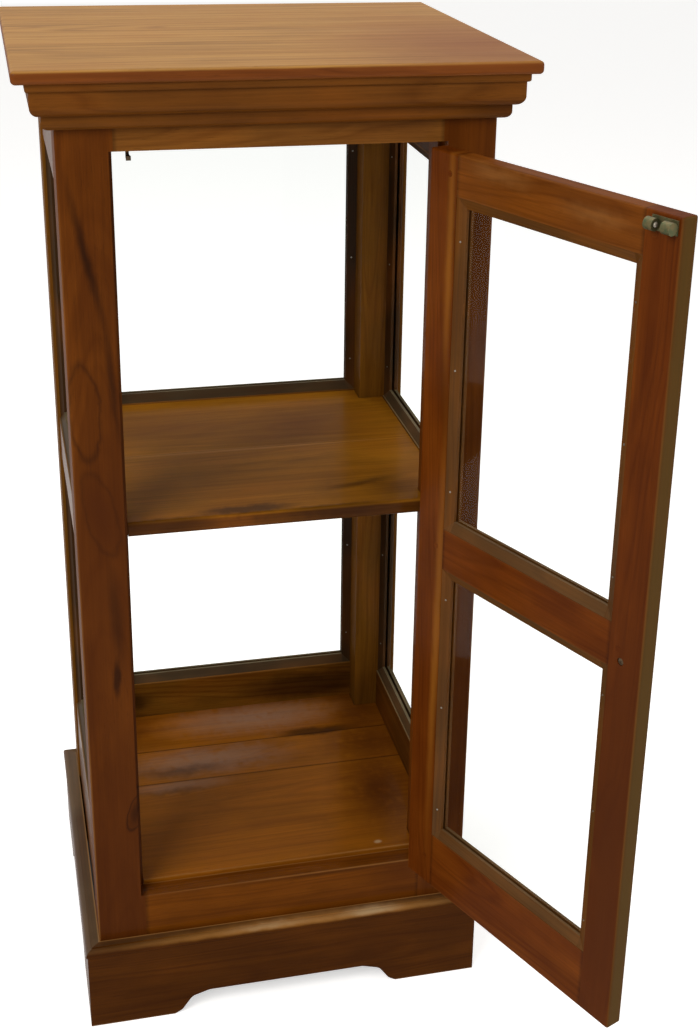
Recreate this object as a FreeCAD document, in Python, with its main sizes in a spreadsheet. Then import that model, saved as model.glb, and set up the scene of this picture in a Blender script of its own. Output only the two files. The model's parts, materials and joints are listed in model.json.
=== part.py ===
import FreeCAD, Part
import os
import re
import Sketcher

# Display cabinet of varnished teak: a post and rail carcass glazed on three sides, a middle
# shelf, a moulded plinth with bracket feet, a two-step cornice, and one glazed door on the front.
# Millimetres. +Z is up and the door is on the -Y side. Everything is drawn about the middle of the
# carcass, with the ground at Z = 0. The door's pieces are drawn shut and then swung open about the
# hinge pins, and the files' origin lies under the middle of the box round all of it.

os.makedirs("parts", exist_ok=True)
doc = FreeCAD.newDocument("display_cabinet")
sheet = doc.addObject("Spreadsheet::Sheet", "Sizes")

# Driving dimensions
SIZES = [
    ("body_width", 400, "across the outer faces of the posts"),
    ("body_depth", 364, "from the front face of the posts to the back face"),
    ("post_height", 1008, "ground to the underside of the top board"),
    ("post_size", 50, "side of the square posts"),
    ("post_arris", 1.5, "rounding of the posts' outer corners"),
    ("top_thickness", 12, "top board"),
    ("top_overhang_side", 34, "top board past the posts, left and right"),
    ("top_overhang_front", 27, "top board past the posts, front and back"),
    ("top_edge_round", 4, "rounding of the top board's edges"),
    ("rail_thickness", 20, "wall rails and front bottom rail"),
    ("rail_recess", 2, "wall rails behind the posts' outer faces"),
    ("front_top_rail_thickness", 40, "front top rail, which also carries the catch's strike"),
    ("rail_top_gap", 12, "top rails below the top board"),
    ("wall_top_rail_height", 96, "top rails of the glazed walls"),
    ("front_top_rail_height", 51, "front top rail, above the door"),
    ("mid_rail_top", 577, "upper edge of the middle rails"),
    ("mid_rail_height", 43, "middle rails of walls and door"),
    ("bottom_rail_top", 203, "upper edge of the bottom rails of the glazed walls"),
    ("bottom_rail_bottom", 60, "lower edge of all bottom rails, behind the plinth"),
    ("front_bottom_rail_top", 151, "upper edge of the front bottom rail"),
    ("tenon_length", 20, "tenons of the carcass rails"),
    ("tenon_thickness", 8, "tenons of the carcass rails"),
    ("tenon_shoulder", 9, "rail above and below its tenon"),
    ("mortise_clearance", 0.2, "mortise wider and deeper than its tenon"),
    ("shelf_top", 576, "upper face of the middle shelf"),
    ("shelf_thickness", 15, "middle shelf"),
    ("shelf_setback", 22, "front edge of the shelf behind the posts' front face"),
    ("shelf_edge_round", 4, "rounding of the shelf's front edge"),
    ("shelf_joint", 188, "joint of the two shelf boards behind the posts' front face"),
    ("floor_top", 156, "upper face of the cabinet's floor"),
    ("floor_thickness", 15, "floor boards"),
    ("floor_front_board_width", 172, "front floor board"),
    ("floor_middle_board_width", 68, "middle floor board, the back one takes the rest"),
    ("board_clearance", 0.8, "gap of shelf and floor boards to what stands round them"),
    ("board_joint_gap", 0.4, "gap between neighbouring boards"),
    ("cleat_size", 15, "square battens under shelf and floor"),
    ("plinth_height", 100, "plinth boards"),
    ("plinth_thickness", 14, "plinth boards below their moulded edge"),
    ("plinth_ledge", 8.5, "flat ledge inside the moulded edge"),
    ("plinth_nose", 1.5, "moulded edge in front of the board's face"),
    ("plinth_step", 1.5, "moulded edge below the ledge"),
    ("plinth_nose_height", 8, "moulded edge"),
    ("foot_length", 90, "bracket foot from the plinth's corner to the cut's toe"),
    ("foot_cut_height", 26, "cut between the feet"),
    ("foot_curve", 40, "length of the cut's curved end"),
    ("foot_round", 11, "rounding along the cut's curved end"),
    ("cornice_upper_height", 29, "upper moulding"),
    ("cornice_upper_projection", 20, "upper moulding in front of the posts"),
    ("cornice_band_projection", 3, "band along its top, in front of its face"),
    ("cornice_band_height", 7, "band along its top"),
    ("cornice_upper_round", 9, "rounding of its lower edge"),
    ("cornice_lower_height", 13, "lower moulding"),
    ("cornice_lower_projection", 10.5, "lower moulding in front of the posts"),
    ("cornice_lower_round", 7, "rounding of its lower edge"),
    ("glass_thickness", 3, "panes"),
    ("glass_clearance", 1, "pane to the wood around it"),
    ("bead_width", 10, "glazing beads, into the opening"),
    ("bead_thickness", 7, "glazing beads where they touch the rail"),
    ("bead_lip", 3, "glazing beads at their thin edge"),
    ("door_thickness", 18, "door frame"),
    ("door_gap", 2, "door to the frame around it"),
    ("door_rebate_width", 4, "rebate of the front posts, into the post"),
    ("door_rebate_clearance", 1.5, "door's inner face to the stop of the rebate"),
    ("door_stile_width", 38, "door stiles"),
    ("door_arris", 2, "rounding of the door's outer edges"),
    ("door_top_rail_height", 38, "door top rail"),
    ("door_bottom_rail_height", 64, "door bottom rail"),
    ("door_mid_rail_drop", 2, "door middle rail below the wall middle rails"),
    ("door_tenon_length", 22, "tenons of the door rails"),
    ("door_tenon_thickness", 6, "tenons of the door rails"),
    ("peg_diameter", 6, "pegs through the door's joints"),
    ("peg_setback", 10, "peg's middle from the joint's shoulder"),
    ("peg_clearance", 0.05, "peg hole wider than its peg, on the radius"),
    ("door_open_angle", 113.9, "degrees, door as it stands open"),
    ("hinge_length", 50, "butt hinges"),
    ("hinge_inset", 55, "hinges from the door's top and bottom"),
    ("hinge_leaf_width", 16, "leaf behind the posts' front face"),
    ("hinge_leaf_thickness", 1.5, "leaves"),
    ("hinge_knuckle_diameter", 6, "knuckles"),
    ("hinge_knuckle_clearance", 0.4, "knuckles in front of the posts' front face"),
    ("hinge_pin_diameter", 2.6, "pins"),
    ("hinge_pin_clearance", 0.1, "pin hole wider than its pin, on the radius"),
    ("hinge_knuckle_gap", 0.3, "between neighbouring knuckles"),
    ("screw_head_diameter", 5.6, "countersunk screws"),
    ("screw_shank_diameter", 2.8, "countersunk screws"),
    ("screw_length", 12, "countersunk screws"),
    ("screw_clearance", 0.05, "screw hole wider than its screw, on the radius"),
    ("screw_spacing", 17, "between the screws of a hinge leaf"),
    ("catch_length", 27, "ball catch on the door"),
    ("catch_height", 12, "ball catch's base plate"),
    ("catch_base_thickness", 1.5, "ball catch's base plate"),
    ("catch_barrel_diameter", 10.5, "barrels that hold the balls"),
    ("catch_barrel_length", 9, "barrels that hold the balls"),
    ("catch_below_top", 9, "catch's middle below the door's top edge"),
    ("catch_from_edge", 17, "catch's middle from the door's free edge"),
    ("ball_diameter", 5, "catch balls"),
    ("ball_clearance", 0.15, "ball to its bore, on the radius"),
    ("ball_proud", 1.8, "balls past the barrels"),
    ("ball_travel", 1, "how far a ball is pushed in"),
    ("spring_length", 3, "spring behind a ball, pushed together"),
    ("spring_wall", 0.5, "spring's wire"),
    ("strike_head", 4.4, "strike's thick end between the balls"),
    ("strike_neck", 3, "strike behind its thick end"),
    ("strike_height", 4, "strike's tongue"),
    ("strike_plate", 1.5, "thickness of the strike's plate"),
    ("strike_width", 10, "strike's plate under the rail"),
    ("pull_below_rail_top", 33, "pull's pin below the upper edge of the door's middle rail"),
    ("pull_from_edge", 24, "pull's middle from the door's free edge"),
    ("pull_reach", 11.4, "pull's pin in front of the door"),
    ("pull_foot_diameter", 18, "foot of the pull's post on the door"),
    ("pull_foot_thickness", 2, "foot of the pull's post on the door"),
    ("pull_neck_diameter", 8, "pull's post"),
    ("pull_eye_diameter", 8, "eye at the end of the pull's post"),
    ("pull_eye_width", 4, "eye at the end of the pull's post"),
    ("pull_play", 0.5, "eye to the cheeks of the drop, and post to their rims"),
    ("pull_cheek_thickness", 2, "cheeks of the drop, on both sides of the eye"),
    ("pull_cheek_depth", 6, "cheeks below the pin, from front to back"),
    ("pull_bridge_drop", 4.8, "upper side of the bridge between the cheeks, below the pin"),
    ("pull_bridge_thickness", 2.5, "bridge between the cheeks"),
    ("pull_pin_diameter", 2.4, "pin the drop swings on"),
    ("pull_pin_clearance", 0.05, "hole in the eye wider than the pin, on the radius"),
    ("pull_stem_diameter", 4.4, "drop between its bridge and its weight"),
    ("pull_weight_diameter", 13, "pear-shaped weight of the drop"),
    ("pull_weight_height", 26, "pear-shaped weight of the drop"),
    ("pull_weight_drop", 27, "weight's middle below the pin"),
    ("pull_screw_diameter", 4, "screw that holds the pull"),
    ("pull_screw_depth", 6, "screw's end inside the pull's post"),
    ("pull_screw_head_diameter", 7.2, "head of the pull's screw, sunk into the door's inner face"),
    ("pull_screw_head_height", 2, "head of the pull's screw, sunk into the door's inner face"),
    ("pull_screw_sink", 0.3, "head below the door's inner face"),
]
for row, (name, value, meaning) in enumerate(SIZES, start=1):
    sheet.set("A%d" % row, name)
    sheet.set("B%d" % row, str(value))
    sheet.set("C%d" % row, meaning)
    sheet.setAlias("B%d" % row, name)
doc.recompute()

ALIASES = {name for name, value, meaning in SIZES}

# Places worked out from the driving dimensions
HALF_W = "body_width / 2"
HALF_D = "body_depth / 2"
INNER_W = "(body_width / 2 - post_size)"
INNER_D = "(body_depth / 2 - post_size)"
RAIL_TOP = "(post_height - rail_top_gap)"
WALL_HEAD = "(post_height - rail_top_gap - wall_top_rail_height)"
DOOR_HEAD = "(post_height - rail_top_gap - front_top_rail_height)"
RAIL_INNER_W = "(body_width / 2 - rail_recess - rail_thickness)"
RAIL_INNER_D = "(body_depth / 2 - rail_recess - rail_thickness)"
FRONT = "(0 - body_depth / 2)"
DOOR_HALF_W = "(body_width / 2 - post_size + door_rebate_width - door_gap)"
DOOR_FRAME_HALF_W = "(body_width / 2 - post_size + door_rebate_width)"
DOOR_BACK = "(0 - body_depth / 2 + door_thickness)"
DOOR_BOTTOM = "(front_bottom_rail_top + door_gap)"
DOOR_TOP = "(post_height - rail_top_gap - front_top_rail_height - door_gap)"
DOOR_MID_TOP = "(mid_rail_top - door_mid_rail_drop)"
PIN_X = "(body_width / 2 - post_size + door_rebate_width - door_gap / 2)"
PIN_Y = "(0 - body_depth / 2 - hinge_knuckle_diameter / 2 - hinge_knuckle_clearance)"
CATCH_X = "(catch_from_edge - (body_width / 2 - post_size + door_rebate_width - door_gap))"
CATCH_Z = "(post_height - rail_top_gap - front_top_rail_height - door_gap - catch_below_top)"
CATCH_Y = "(0 - body_depth / 2 + door_thickness + catch_base_thickness + catch_barrel_diameter / 2)"
PULL_X = "(pull_from_edge - (body_width / 2 - post_size + door_rebate_width - door_gap))"
PULL_Y = "(0 - body_depth / 2 - pull_reach)"
PULL_Z = "(mid_rail_top - door_mid_rail_drop - pull_below_rail_top)"

subparts = []


def cell(word):
    """A word of an expression, pointing at its cell if it is a size's name."""
    return "Sizes." + word.group() if word.group() in ALIASES else word.group()


def full(text):
    """The text with each size's name pointing at its cell."""
    return re.sub(r"[a-z][a-z_]*", cell, text)


def number(text):
    """The value of an expression in millimetres or degrees."""
    result = sheet.evalExpression(full(text))
    return float(getattr(result, "Value", result))


def bind(thing, prop, text):
    thing.setExpression(prop, full(text))


def minus(text):
    return "(0 - (%s))" % text


def place(thing, x, y, z, rotation=None):
    """Puts the thing at a place given by expressions, turned by a fixed rotation."""
    if rotation is not None:
        thing.Placement = FreeCAD.Placement(FreeCAD.Vector(0, 0, 0), rotation)
    for axis, text in (("x", x), ("y", y), ("z", z)):
        bind(thing, "Placement.Base." + axis, text)
    return thing


def subpart(thing, label):
    """Registers the thing as a sub-part, whose label is its file's name."""
    thing.Label = label
    subparts.append(thing)
    return thing


# Solids


def box(name, x, y, z):
    """A block between two expressions on each axis."""
    block = doc.addObject("Part::Box", name)
    for prop, (low, high) in (("Length", x), ("Width", y), ("Height", z)):
        bind(block, prop, "(%s) - (%s)" % (high, low))
    return place(block, x[0], y[0], z[0])


ALONG = {
    "+x": FreeCAD.Rotation(FreeCAD.Vector(0, 1, 0), 90),
    "-x": FreeCAD.Rotation(FreeCAD.Vector(0, 1, 0), -90),
    "+y": FreeCAD.Rotation(FreeCAD.Vector(1, 0, 0), -90),
    "-y": FreeCAD.Rotation(FreeCAD.Vector(1, 0, 0), 90),
    "+z": FreeCAD.Rotation(),
}


def rod(name, diameter, length, at, along):
    """A round bar that starts at a place and runs along an axis."""
    bar = doc.addObject("Part::Cylinder", name)
    bind(bar, "Radius", "(%s) / 2" % diameter)
    bind(bar, "Height", length)
    return place(bar, *at, rotation=ALONG[along])


def fuse(name, pieces):
    joined = doc.addObject("Part::MultiFuse", name)
    joined.Shapes = pieces
    joined.Refine = True
    return joined


def cut(name, base, cutters):
    tool = cutters[0] if len(cutters) == 1 else fuse(name + "_cutter", cutters)
    result = doc.addObject("Part::Cut", name)
    result.Base = base
    result.Tool = tool
    return result


def group(name, pieces):
    """Separate solids kept together in one sub-part."""
    together = doc.addObject("Part::Compound", name)
    together.Links = pieces
    return together


def edge_names(feature, test):
    """Names of the feature's edges whose middle and direction pass the test."""
    names = []
    for index, edge in enumerate(feature.Shape.Edges, start=1):
        ends = [vertex.Point for vertex in edge.Vertexes]
        if len(ends) == 2 and test(ends[0], ends[1]):
            names.append("Edge%d" % index)
    return names


def rounded(body, feature, test, radius):
    """Rounds the body's edges that pass the test."""
    doc.recompute()
    fillet = body.newObject("PartDesign::Fillet", body.Name + "_round")
    fillet.Base = (feature, edge_names(feature, test))
    bind(fillet, "Radius", radius)
    body.Tip = fillet
    return fillet


def soft_board(name, x, y, z, test, radius):
    """A block with some of its edges rounded."""
    body = doc.addObject("PartDesign::Body", name)
    block = doc.addObject("PartDesign::AdditiveBox", name + "_block")
    body.addObject(block)
    for prop, (low, high) in (("Length", x), ("Width", y), ("Height", z)):
        bind(block, prop, "(%s) - (%s)" % (high, low))
    place(block, x[0], y[0], z[0])
    rounded(body, block, test, radius)
    return body


def near(one, other):
    return abs(one - other) < 0.01


def polygon(body, role, corners):
    """A closed outline of straight lines on one of the body's planes, each corner held by its cells."""
    sketch = body.newObject("Sketcher::SketchObject", body.Name + "_outline")
    plane = [feature for feature in body.Origin.OriginFeatures if feature.Role == role][0]
    sketch.AttachmentSupport = [(plane, "")]
    sketch.MapMode = "FlatFace"
    points = [FreeCAD.Vector(number(across), number(up), 0) for across, up in corners]
    for index, point in enumerate(points):
        following = points[(index + 1) % len(points)]
        sketch.addGeometry(Part.LineSegment(point, following), False)
    for index in range(len(points)):
        sketch.addConstraint(Sketcher.Constraint("Coincident", index, 2, (index + 1) % len(points), 1))
    for index, (across, up) in enumerate(corners):
        for kind, text, axis in (("DistanceX", across, -2), ("DistanceY", up, -1)):
            if text == "0":
                sketch.addConstraint(Sketcher.Constraint("PointOnObject", index, 1, axis))
            else:
                row = sketch.addConstraint(Sketcher.Constraint(kind, -1, 1, index, 1, number(text)))
                bind(sketch, "Constraints[%d]" % row, text)
    return sketch


def pad(body, sketch, length):
    """A pad to both sides of the outline's plane."""
    feature = body.newObject("PartDesign::Pad", body.Name + "_pad")
    feature.Profile = sketch
    feature.Midplane = True
    bind(feature, "Length", length)
    return feature


def pocket(body, sketch, length):
    """A cut to both sides of the outline's plane."""
    feature = body.newObject("PartDesign::Pocket", body.Name + "_pocket")
    feature.Profile = sketch
    feature.Midplane = True
    bind(feature, "Length", length)
    return feature


# Walls: a wall's u runs along it, n points outwards from the cabinet's middle

WALLS = {
    "left": ("x", -1, HALF_W, INNER_D),
    "right": ("x", 1, HALF_W, INNER_D),
    "back": ("y", 1, HALF_D, INNER_W),
    "front": ("y", -1, HALF_D, INNER_W),
}


def wall_span(wall, u, n):
    """The x and y spans of a stretch of wall, from its spans along u and n."""
    axis, sign, half, inner = WALLS[wall]
    if sign < 0:
        n = (minus(n[1]), minus(n[0]))
    return (n, u) if axis == "x" else (u, n)


def wall_box(name, wall, u, n, z):
    x, y = wall_span(wall, u, n)
    return box(name, x, y, z)


# Rails with their tenons, and the mortises that take them

mortises = {"front_left": [], "front_right": [], "back_left": [], "back_right": []}


def post_of(wall, end):
    """The post at one end of a wall's rails."""
    if wall in ("left", "right"):
        return ("back_" if end > 0 else "front_") + wall
    return wall + ("_right" if end > 0 else "_left")


def rail(label, wall, n, z):
    """A rail between two posts, with a tenon at each end and the mortises in the posts."""
    inner = WALLS[wall][3]
    middle = "((%s) + (%s)) / 2" % n
    tenon_n = ("%s - tenon_thickness / 2" % middle, "%s + tenon_thickness / 2" % middle)
    hole_n = (tenon_n[0] + " - mortise_clearance", tenon_n[1] + " + mortise_clearance")
    tenon_z = (z[0] + " + tenon_shoulder", z[1] + " - tenon_shoulder")
    hole_z = (tenon_z[0] + " - mortise_clearance", tenon_z[1] + " + mortise_clearance")
    pieces = [wall_box(label + "_rail", wall, (minus(inner), inner), n, z)]
    for end in (-1, 1):
        reach = (inner, inner + " + tenon_length")
        hole = (inner + " - 1", inner + " + tenon_length + mortise_clearance")
        if end < 0:
            reach = (minus(reach[1]), minus(reach[0]))
            hole = (minus(hole[1]), minus(hole[0]))
        pieces.append(wall_box(label + "_tenon", wall, reach, tenon_n, tenon_z))
        mortises[post_of(wall, end)].append(wall_box(label + "_mortise", wall, hole, hole_n, hole_z))
    return subpart(fuse(label, pieces), label)


def wall_n(wall):
    half = WALLS[wall][2]
    return (half + " - rail_recess - rail_thickness", half + " - rail_recess")


for wall in ("left", "right", "back"):
    rail(wall + "_top_rail", wall, wall_n(wall), (WALL_HEAD, RAIL_TOP))
    rail(wall + "_mid_rail", wall, wall_n(wall), ("mid_rail_top - mid_rail_height", "mid_rail_top"))
    rail(wall + "_bottom_rail", wall, wall_n(wall), ("bottom_rail_bottom", "bottom_rail_top"))
rail("front_bottom_rail", "front", (HALF_D + " - rail_thickness", HALF_D),
     ("bottom_rail_bottom", "front_bottom_rail_top"))


# Screws and the holes that take them


def screw(name, at, along, grow="0"):
    """A countersunk screw with its head's face at a place, or its hole if it is grown."""
    head = doc.addObject("Part::Cone", name + "_head")
    bind(head, "Radius1", "screw_head_diameter / 2 + " + grow)
    bind(head, "Radius2", "screw_shank_diameter / 2 + " + grow)
    bind(head, "Height", "(screw_head_diameter - screw_shank_diameter) / 2")
    place(head, *at, rotation=ALONG[along])
    diameter = "screw_shank_diameter + 2 * (%s)" % grow
    shank = rod(name + "_shank", diameter, "screw_length + " + grow, at, along)
    return fuse(name, [head, shank])


# Door: drawn shut, with the hinge on its right edge


def door_frame():
    """Stiles and rails of the door, with pegged mortise and tenon joints."""
    rails = {
        "top": (DOOR_TOP + " - door_top_rail_height", DOOR_TOP),
        "mid": (DOOR_MID_TOP + " - mid_rail_height", DOOR_MID_TOP),
        "bottom": (DOOR_BOTTOM, DOOR_BOTTOM + " + door_bottom_rail_height"),
    }
    depth = (FRONT, DOOR_BACK)
    middle = FRONT + " + door_thickness / 2"
    tenon_y = (middle + " - door_tenon_thickness / 2", middle + " + door_tenon_thickness / 2")
    hole_y = (tenon_y[0] + " - mortise_clearance", tenon_y[1] + " + mortise_clearance")
    shoulder = DOOR_HALF_W + " - door_stile_width"
    stile_cutters = {-1: [], 1: []}
    rail_solids = {}
    rail_cutters = {}
    pegs = []
    for name, z in rails.items():
        tenon_z = (z[0] + " + tenon_shoulder", z[1] + " - tenon_shoulder")
        hole_z = (tenon_z[0] + " - mortise_clearance", tenon_z[1] + " + mortise_clearance")
        span = (minus(shoulder), shoulder)
        if name == "top":
            top_z = number(DOOR_TOP)

            def upper_arris(a, b):
                return near(a.z, top_z) and near(b.z, top_z) and near(a.y, b.y)

            pieces = [soft_board("door_top_blank", span, depth, z, upper_arris, "door_arris")]
        else:
            pieces = [box("door_" + name, span, depth, z)]
        holes = []
        for end in (-1, 1):
            reach = (shoulder, shoulder + " + door_tenon_length")
            hole = (shoulder + " - 1", shoulder + " + door_tenon_length + mortise_clearance")
            peg_x = shoulder + " + peg_setback"
            if end < 0:
                reach = (minus(reach[1]), minus(reach[0]))
                hole = (minus(hole[1]), minus(hole[0]))
                peg_x = minus(peg_x)
            pieces.append(box("door_tenon", reach, tenon_y, tenon_z))
            at = (peg_x, FRONT, "((%s) + (%s)) / 2" % z)
            bore = "peg_diameter + 2 * peg_clearance"
            holes.append(rod("peg_hole", bore, "door_thickness", at, "+y"))
            stile_cutters[end].append(box("door_mortise", hole, hole_y, hole_z))
            stile_cutters[end].append(rod("peg_hole", bore, "door_thickness", at, "+y"))
            pegs.append(rod("peg", "peg_diameter", "door_thickness", at, "+y"))
        rail_solids[name] = fuse("door_%s_body" % name, pieces)
        rail_cutters[name] = holes
    subpart(group("door_pegs", pegs), "door_pegs")
    return rails, rail_solids, rail_cutters, stile_cutters


def add_hinges(post_cutters, stile_cutters):
    """Two butt hinges between the right front post and the door's hinge stile."""
    frame_leaves, door_leaves, pins, frame_screws, door_screws = [], [], [], [], []
    height = "hinge_length"
    third = "hinge_length / 3"
    frame_x = (DOOR_FRAME_HALF_W, DOOR_FRAME_HALF_W + " + hinge_leaf_thickness")
    door_x = (DOOR_HALF_W + " - hinge_leaf_thickness", DOOR_HALF_W)
    leaf_y = (PIN_Y, FRONT + " + hinge_leaf_width")
    seat_y = (FRONT + " - 1", FRONT + " + hinge_leaf_width")
    bore = "hinge_pin_diameter + 2 * hinge_pin_clearance"
    screw_y = FRONT + " + hinge_leaf_width / 2"
    foot_places = (DOOR_BOTTOM + " + hinge_inset", DOOR_TOP + " - hinge_inset - hinge_length")
    for foot in foot_places:
        z = (foot, "%s + %s" % (foot, height))
        middle = ("%s + %s" % (foot, third), "%s + 2 * %s" % (foot, third))
        knuckles = {
            "low": (foot, middle[0] + " - hinge_knuckle_gap"),
            "mid": middle,
            "high": (middle[1] + " + hinge_knuckle_gap", z[1]),
        }
        solids = {}
        for name, span in knuckles.items():
            length = "(%s) - (%s)" % (span[1], span[0])
            low_end = (PIN_X, PIN_Y, span[0])
            solids[name] = rod("knuckle_" + name, "hinge_knuckle_diameter", length, low_end, "+z")
        # The leaf of each side is cut away where the other side's knuckles turn
        clear_low = "(%s - hinge_knuckle_gap)" % middle[0]
        clear_high = "(%s + hinge_knuckle_gap)" % middle[1]
        clear_y = (PIN_Y + " - hinge_knuckle_diameter", FRONT + " - hinge_knuckle_clearance / 4")
        notch = box("leaf_notch", frame_x, clear_y, (clear_low, clear_high))
        hole = rod("pin_hole", bore, height, (PIN_X, PIN_Y, foot), "+z")
        frame_leaf = box("frame_leaf", frame_x, leaf_y, z)
        screw_holes = []
        for step in (-1, 0, 1):
            screw_z = "%s + %s / 2 + (%d) * screw_spacing" % (foot, height, step)
            at = (frame_x[0], screw_y, screw_z)
            frame_screws.append(screw("frame_screw", at, "+x"))
            screw_holes.append(screw("frame_screw_hole", at, "+x", "screw_clearance"))
            post_cutters.append(screw("frame_pilot", at, "+x", "screw_clearance"))
        notched = cut("frame_leaf_notched", frame_leaf, [notch])
        frame_solid = fuse("frame_leaf_body", [notched, solids["low"], solids["high"]])
        frame_leaves.append(cut("frame_leaf_done", frame_solid, [hole] + screw_holes))
        post_cutters.append(box("frame_leaf_seat", frame_x, seat_y, z))

        low_notch = box("leaf_notch", door_x, clear_y, (foot + " - 1", middle[0]))
        high_notch = box("leaf_notch", door_x, clear_y, (middle[1], z[1] + " + 1"))
        hole = rod("pin_hole", bore, height, (PIN_X, PIN_Y, foot), "+z")
        door_leaf = box("door_leaf", door_x, leaf_y, z)
        screw_holes = []
        for step in (-1, 0, 1):
            screw_z = "%s + %s / 2 + (%d) * screw_spacing" % (foot, height, step)
            at = (door_x[1], screw_y, screw_z)
            door_screws.append(screw("door_screw", at, "-x"))
            screw_holes.append(screw("door_screw_hole", at, "-x", "screw_clearance"))
            stile_cutters[1].append(screw("door_pilot", at, "-x", "screw_clearance"))
        notched = cut("door_leaf_notched", door_leaf, [low_notch, high_notch])
        door_solid = fuse("door_leaf_body", [notched, solids["mid"]])
        door_leaves.append(cut("door_leaf_done", door_solid, [hole] + screw_holes))
        stile_cutters[1].append(box("door_leaf_seat", door_x, seat_y, z))
        pins.append(rod("pin", "hinge_pin_diameter", height, (PIN_X, PIN_Y, foot), "+z"))
    subpart(group("hinge_frame_leaves", frame_leaves), "hinge_frame_leaves")
    subpart(group("hinge_door_leaves", door_leaves), "hinge_door_leaves")
    subpart(group("hinge_pins", pins), "hinge_pins")
    return frame_screws, door_screws


def add_catch(frame_screws, door_screws, wood_cutters, rail_cutters):
    """A ball catch on the door's inner face, and its strike under the front top rail."""
    end = "catch_length / 2"
    base_y = (DOOR_BACK, DOOR_BACK + " + catch_base_thickness")
    base = box("catch_base", ("%s - %s" % (CATCH_X, end), "%s + %s" % (CATCH_X, end)), base_y,
               (CATCH_Z + " - catch_height / 2", CATCH_Z + " + catch_height / 2"))
    bore = "ball_diameter + 2 * ball_clearance"
    pieces, cutters, springs = [base], [], []
    for side, name in ((-1, "catch_ball_outer"), (1, "catch_ball_inner")):
        outer = "%s + (%d) * %s" % (CATCH_X, side, end)
        mouth = "%s + (%d) * (catch_length / 2 - catch_barrel_length)" % (CATCH_X, side)
        inward = "-x" if side > 0 else "+x"
        outward = "+x" if side > 0 else "-x"
        barrel_end = (outer, CATCH_Y, CATCH_Z)
        pieces.append(rod("barrel", "catch_barrel_diameter", "catch_barrel_length", barrel_end, inward))
        foot_x = (mouth, outer) if side > 0 else (outer, mouth)
        foot_z = (CATCH_Z + " - catch_barrel_diameter / 4", CATCH_Z + " + catch_barrel_diameter / 4")
        pieces.append(box("barrel_foot", foot_x, (base_y[0], CATCH_Y), foot_z))
        centre = "%s + (%d) * (ball_diameter / 2 - ball_proud)" % (mouth, side)
        depth = "ball_diameter - ball_proud + ball_travel + spring_length"
        cutters.append(rod("ball_bore", bore, depth, (mouth, CATCH_Y, CATCH_Z), outward))
        ball = doc.addObject("Part::Sphere", name + "_sphere")
        bind(ball, "Radius", "ball_diameter / 2")
        place(ball, centre, CATCH_Y, CATCH_Z)
        subpart(group(name, [ball]), name)
        back = "%s + (%d) * (%s)" % (mouth, side, depth)
        coil = rod("spring_coil", bore + " - 2 * ball_clearance - spring_wall", "spring_length",
                   (back, CATCH_Y, CATCH_Z), inward)
        core = rod("spring_core", bore + " - 2 * ball_clearance - 3 * spring_wall", "spring_length",
                   (back, CATCH_Y, CATCH_Z), inward)
        springs.append(cut("spring", coil, [core]))
    # The base is screwed on between the barrels
    at = (CATCH_X, base_y[1], CATCH_Z)
    door_screws.append(screw("door_screw", at, "-y"))
    cutters.append(screw("catch_screw_hole", at, "-y", "screw_clearance"))
    for cutters_of_wood in wood_cutters:
        cutters_of_wood.append(screw("catch_pilot", at, "-y", "screw_clearance"))
    subpart(cut("catch_body", fuse("catch_solid", pieces), cutters), "catch_body")
    subpart(group("catch_springs", springs), "catch_springs")

    # The strike's plate lies under the rail, its leg hangs from it, and its tongue points at the door
    rail_back = FRONT + " + front_top_rail_thickness"
    across = (CATCH_X + " - strike_width / 2", CATCH_X + " + strike_width / 2")
    leg_front = CATCH_Y + " + catch_barrel_diameter / 2 + strike_plate"
    plate = box("strike_top", across, (leg_front, rail_back), (DOOR_HEAD + " - strike_plate", DOOR_HEAD))
    tongue_z = (CATCH_Z + " - strike_height / 2", CATCH_Z + " + strike_height / 2")
    neck_x = (CATCH_X + " - strike_neck / 2", CATCH_X + " + strike_neck / 2")
    leg = box("strike_leg", neck_x, (leg_front, leg_front + " + 2 * strike_plate"),
              (tongue_z[0], DOOR_HEAD))
    # Shut, the balls stand behind the tongue's head
    tip = CATCH_Y + " - ball_diameter / 2 - 1"
    neck = box("strike_neck", neck_x, (tip, leg_front), tongue_z)
    head = box("strike_head", (CATCH_X + " - strike_head / 2", CATCH_X + " + strike_head / 2"),
               (tip, tip + " + ball_diameter / 2"), tongue_z)
    at = (CATCH_X, rail_back + " - screw_head_diameter", DOOR_HEAD + " - strike_plate")
    frame_screws.append(screw("frame_screw", at, "+z"))
    rail_cutters.append(screw("strike_pilot", at, "+z", "screw_clearance"))
    hole = screw("strike_screw_hole", at, "+z", "screw_clearance")
    subpart(cut("catch_strike", fuse("strike_solid", [plate, leg, neck, head]), [hole]), "catch_strike")


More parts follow.
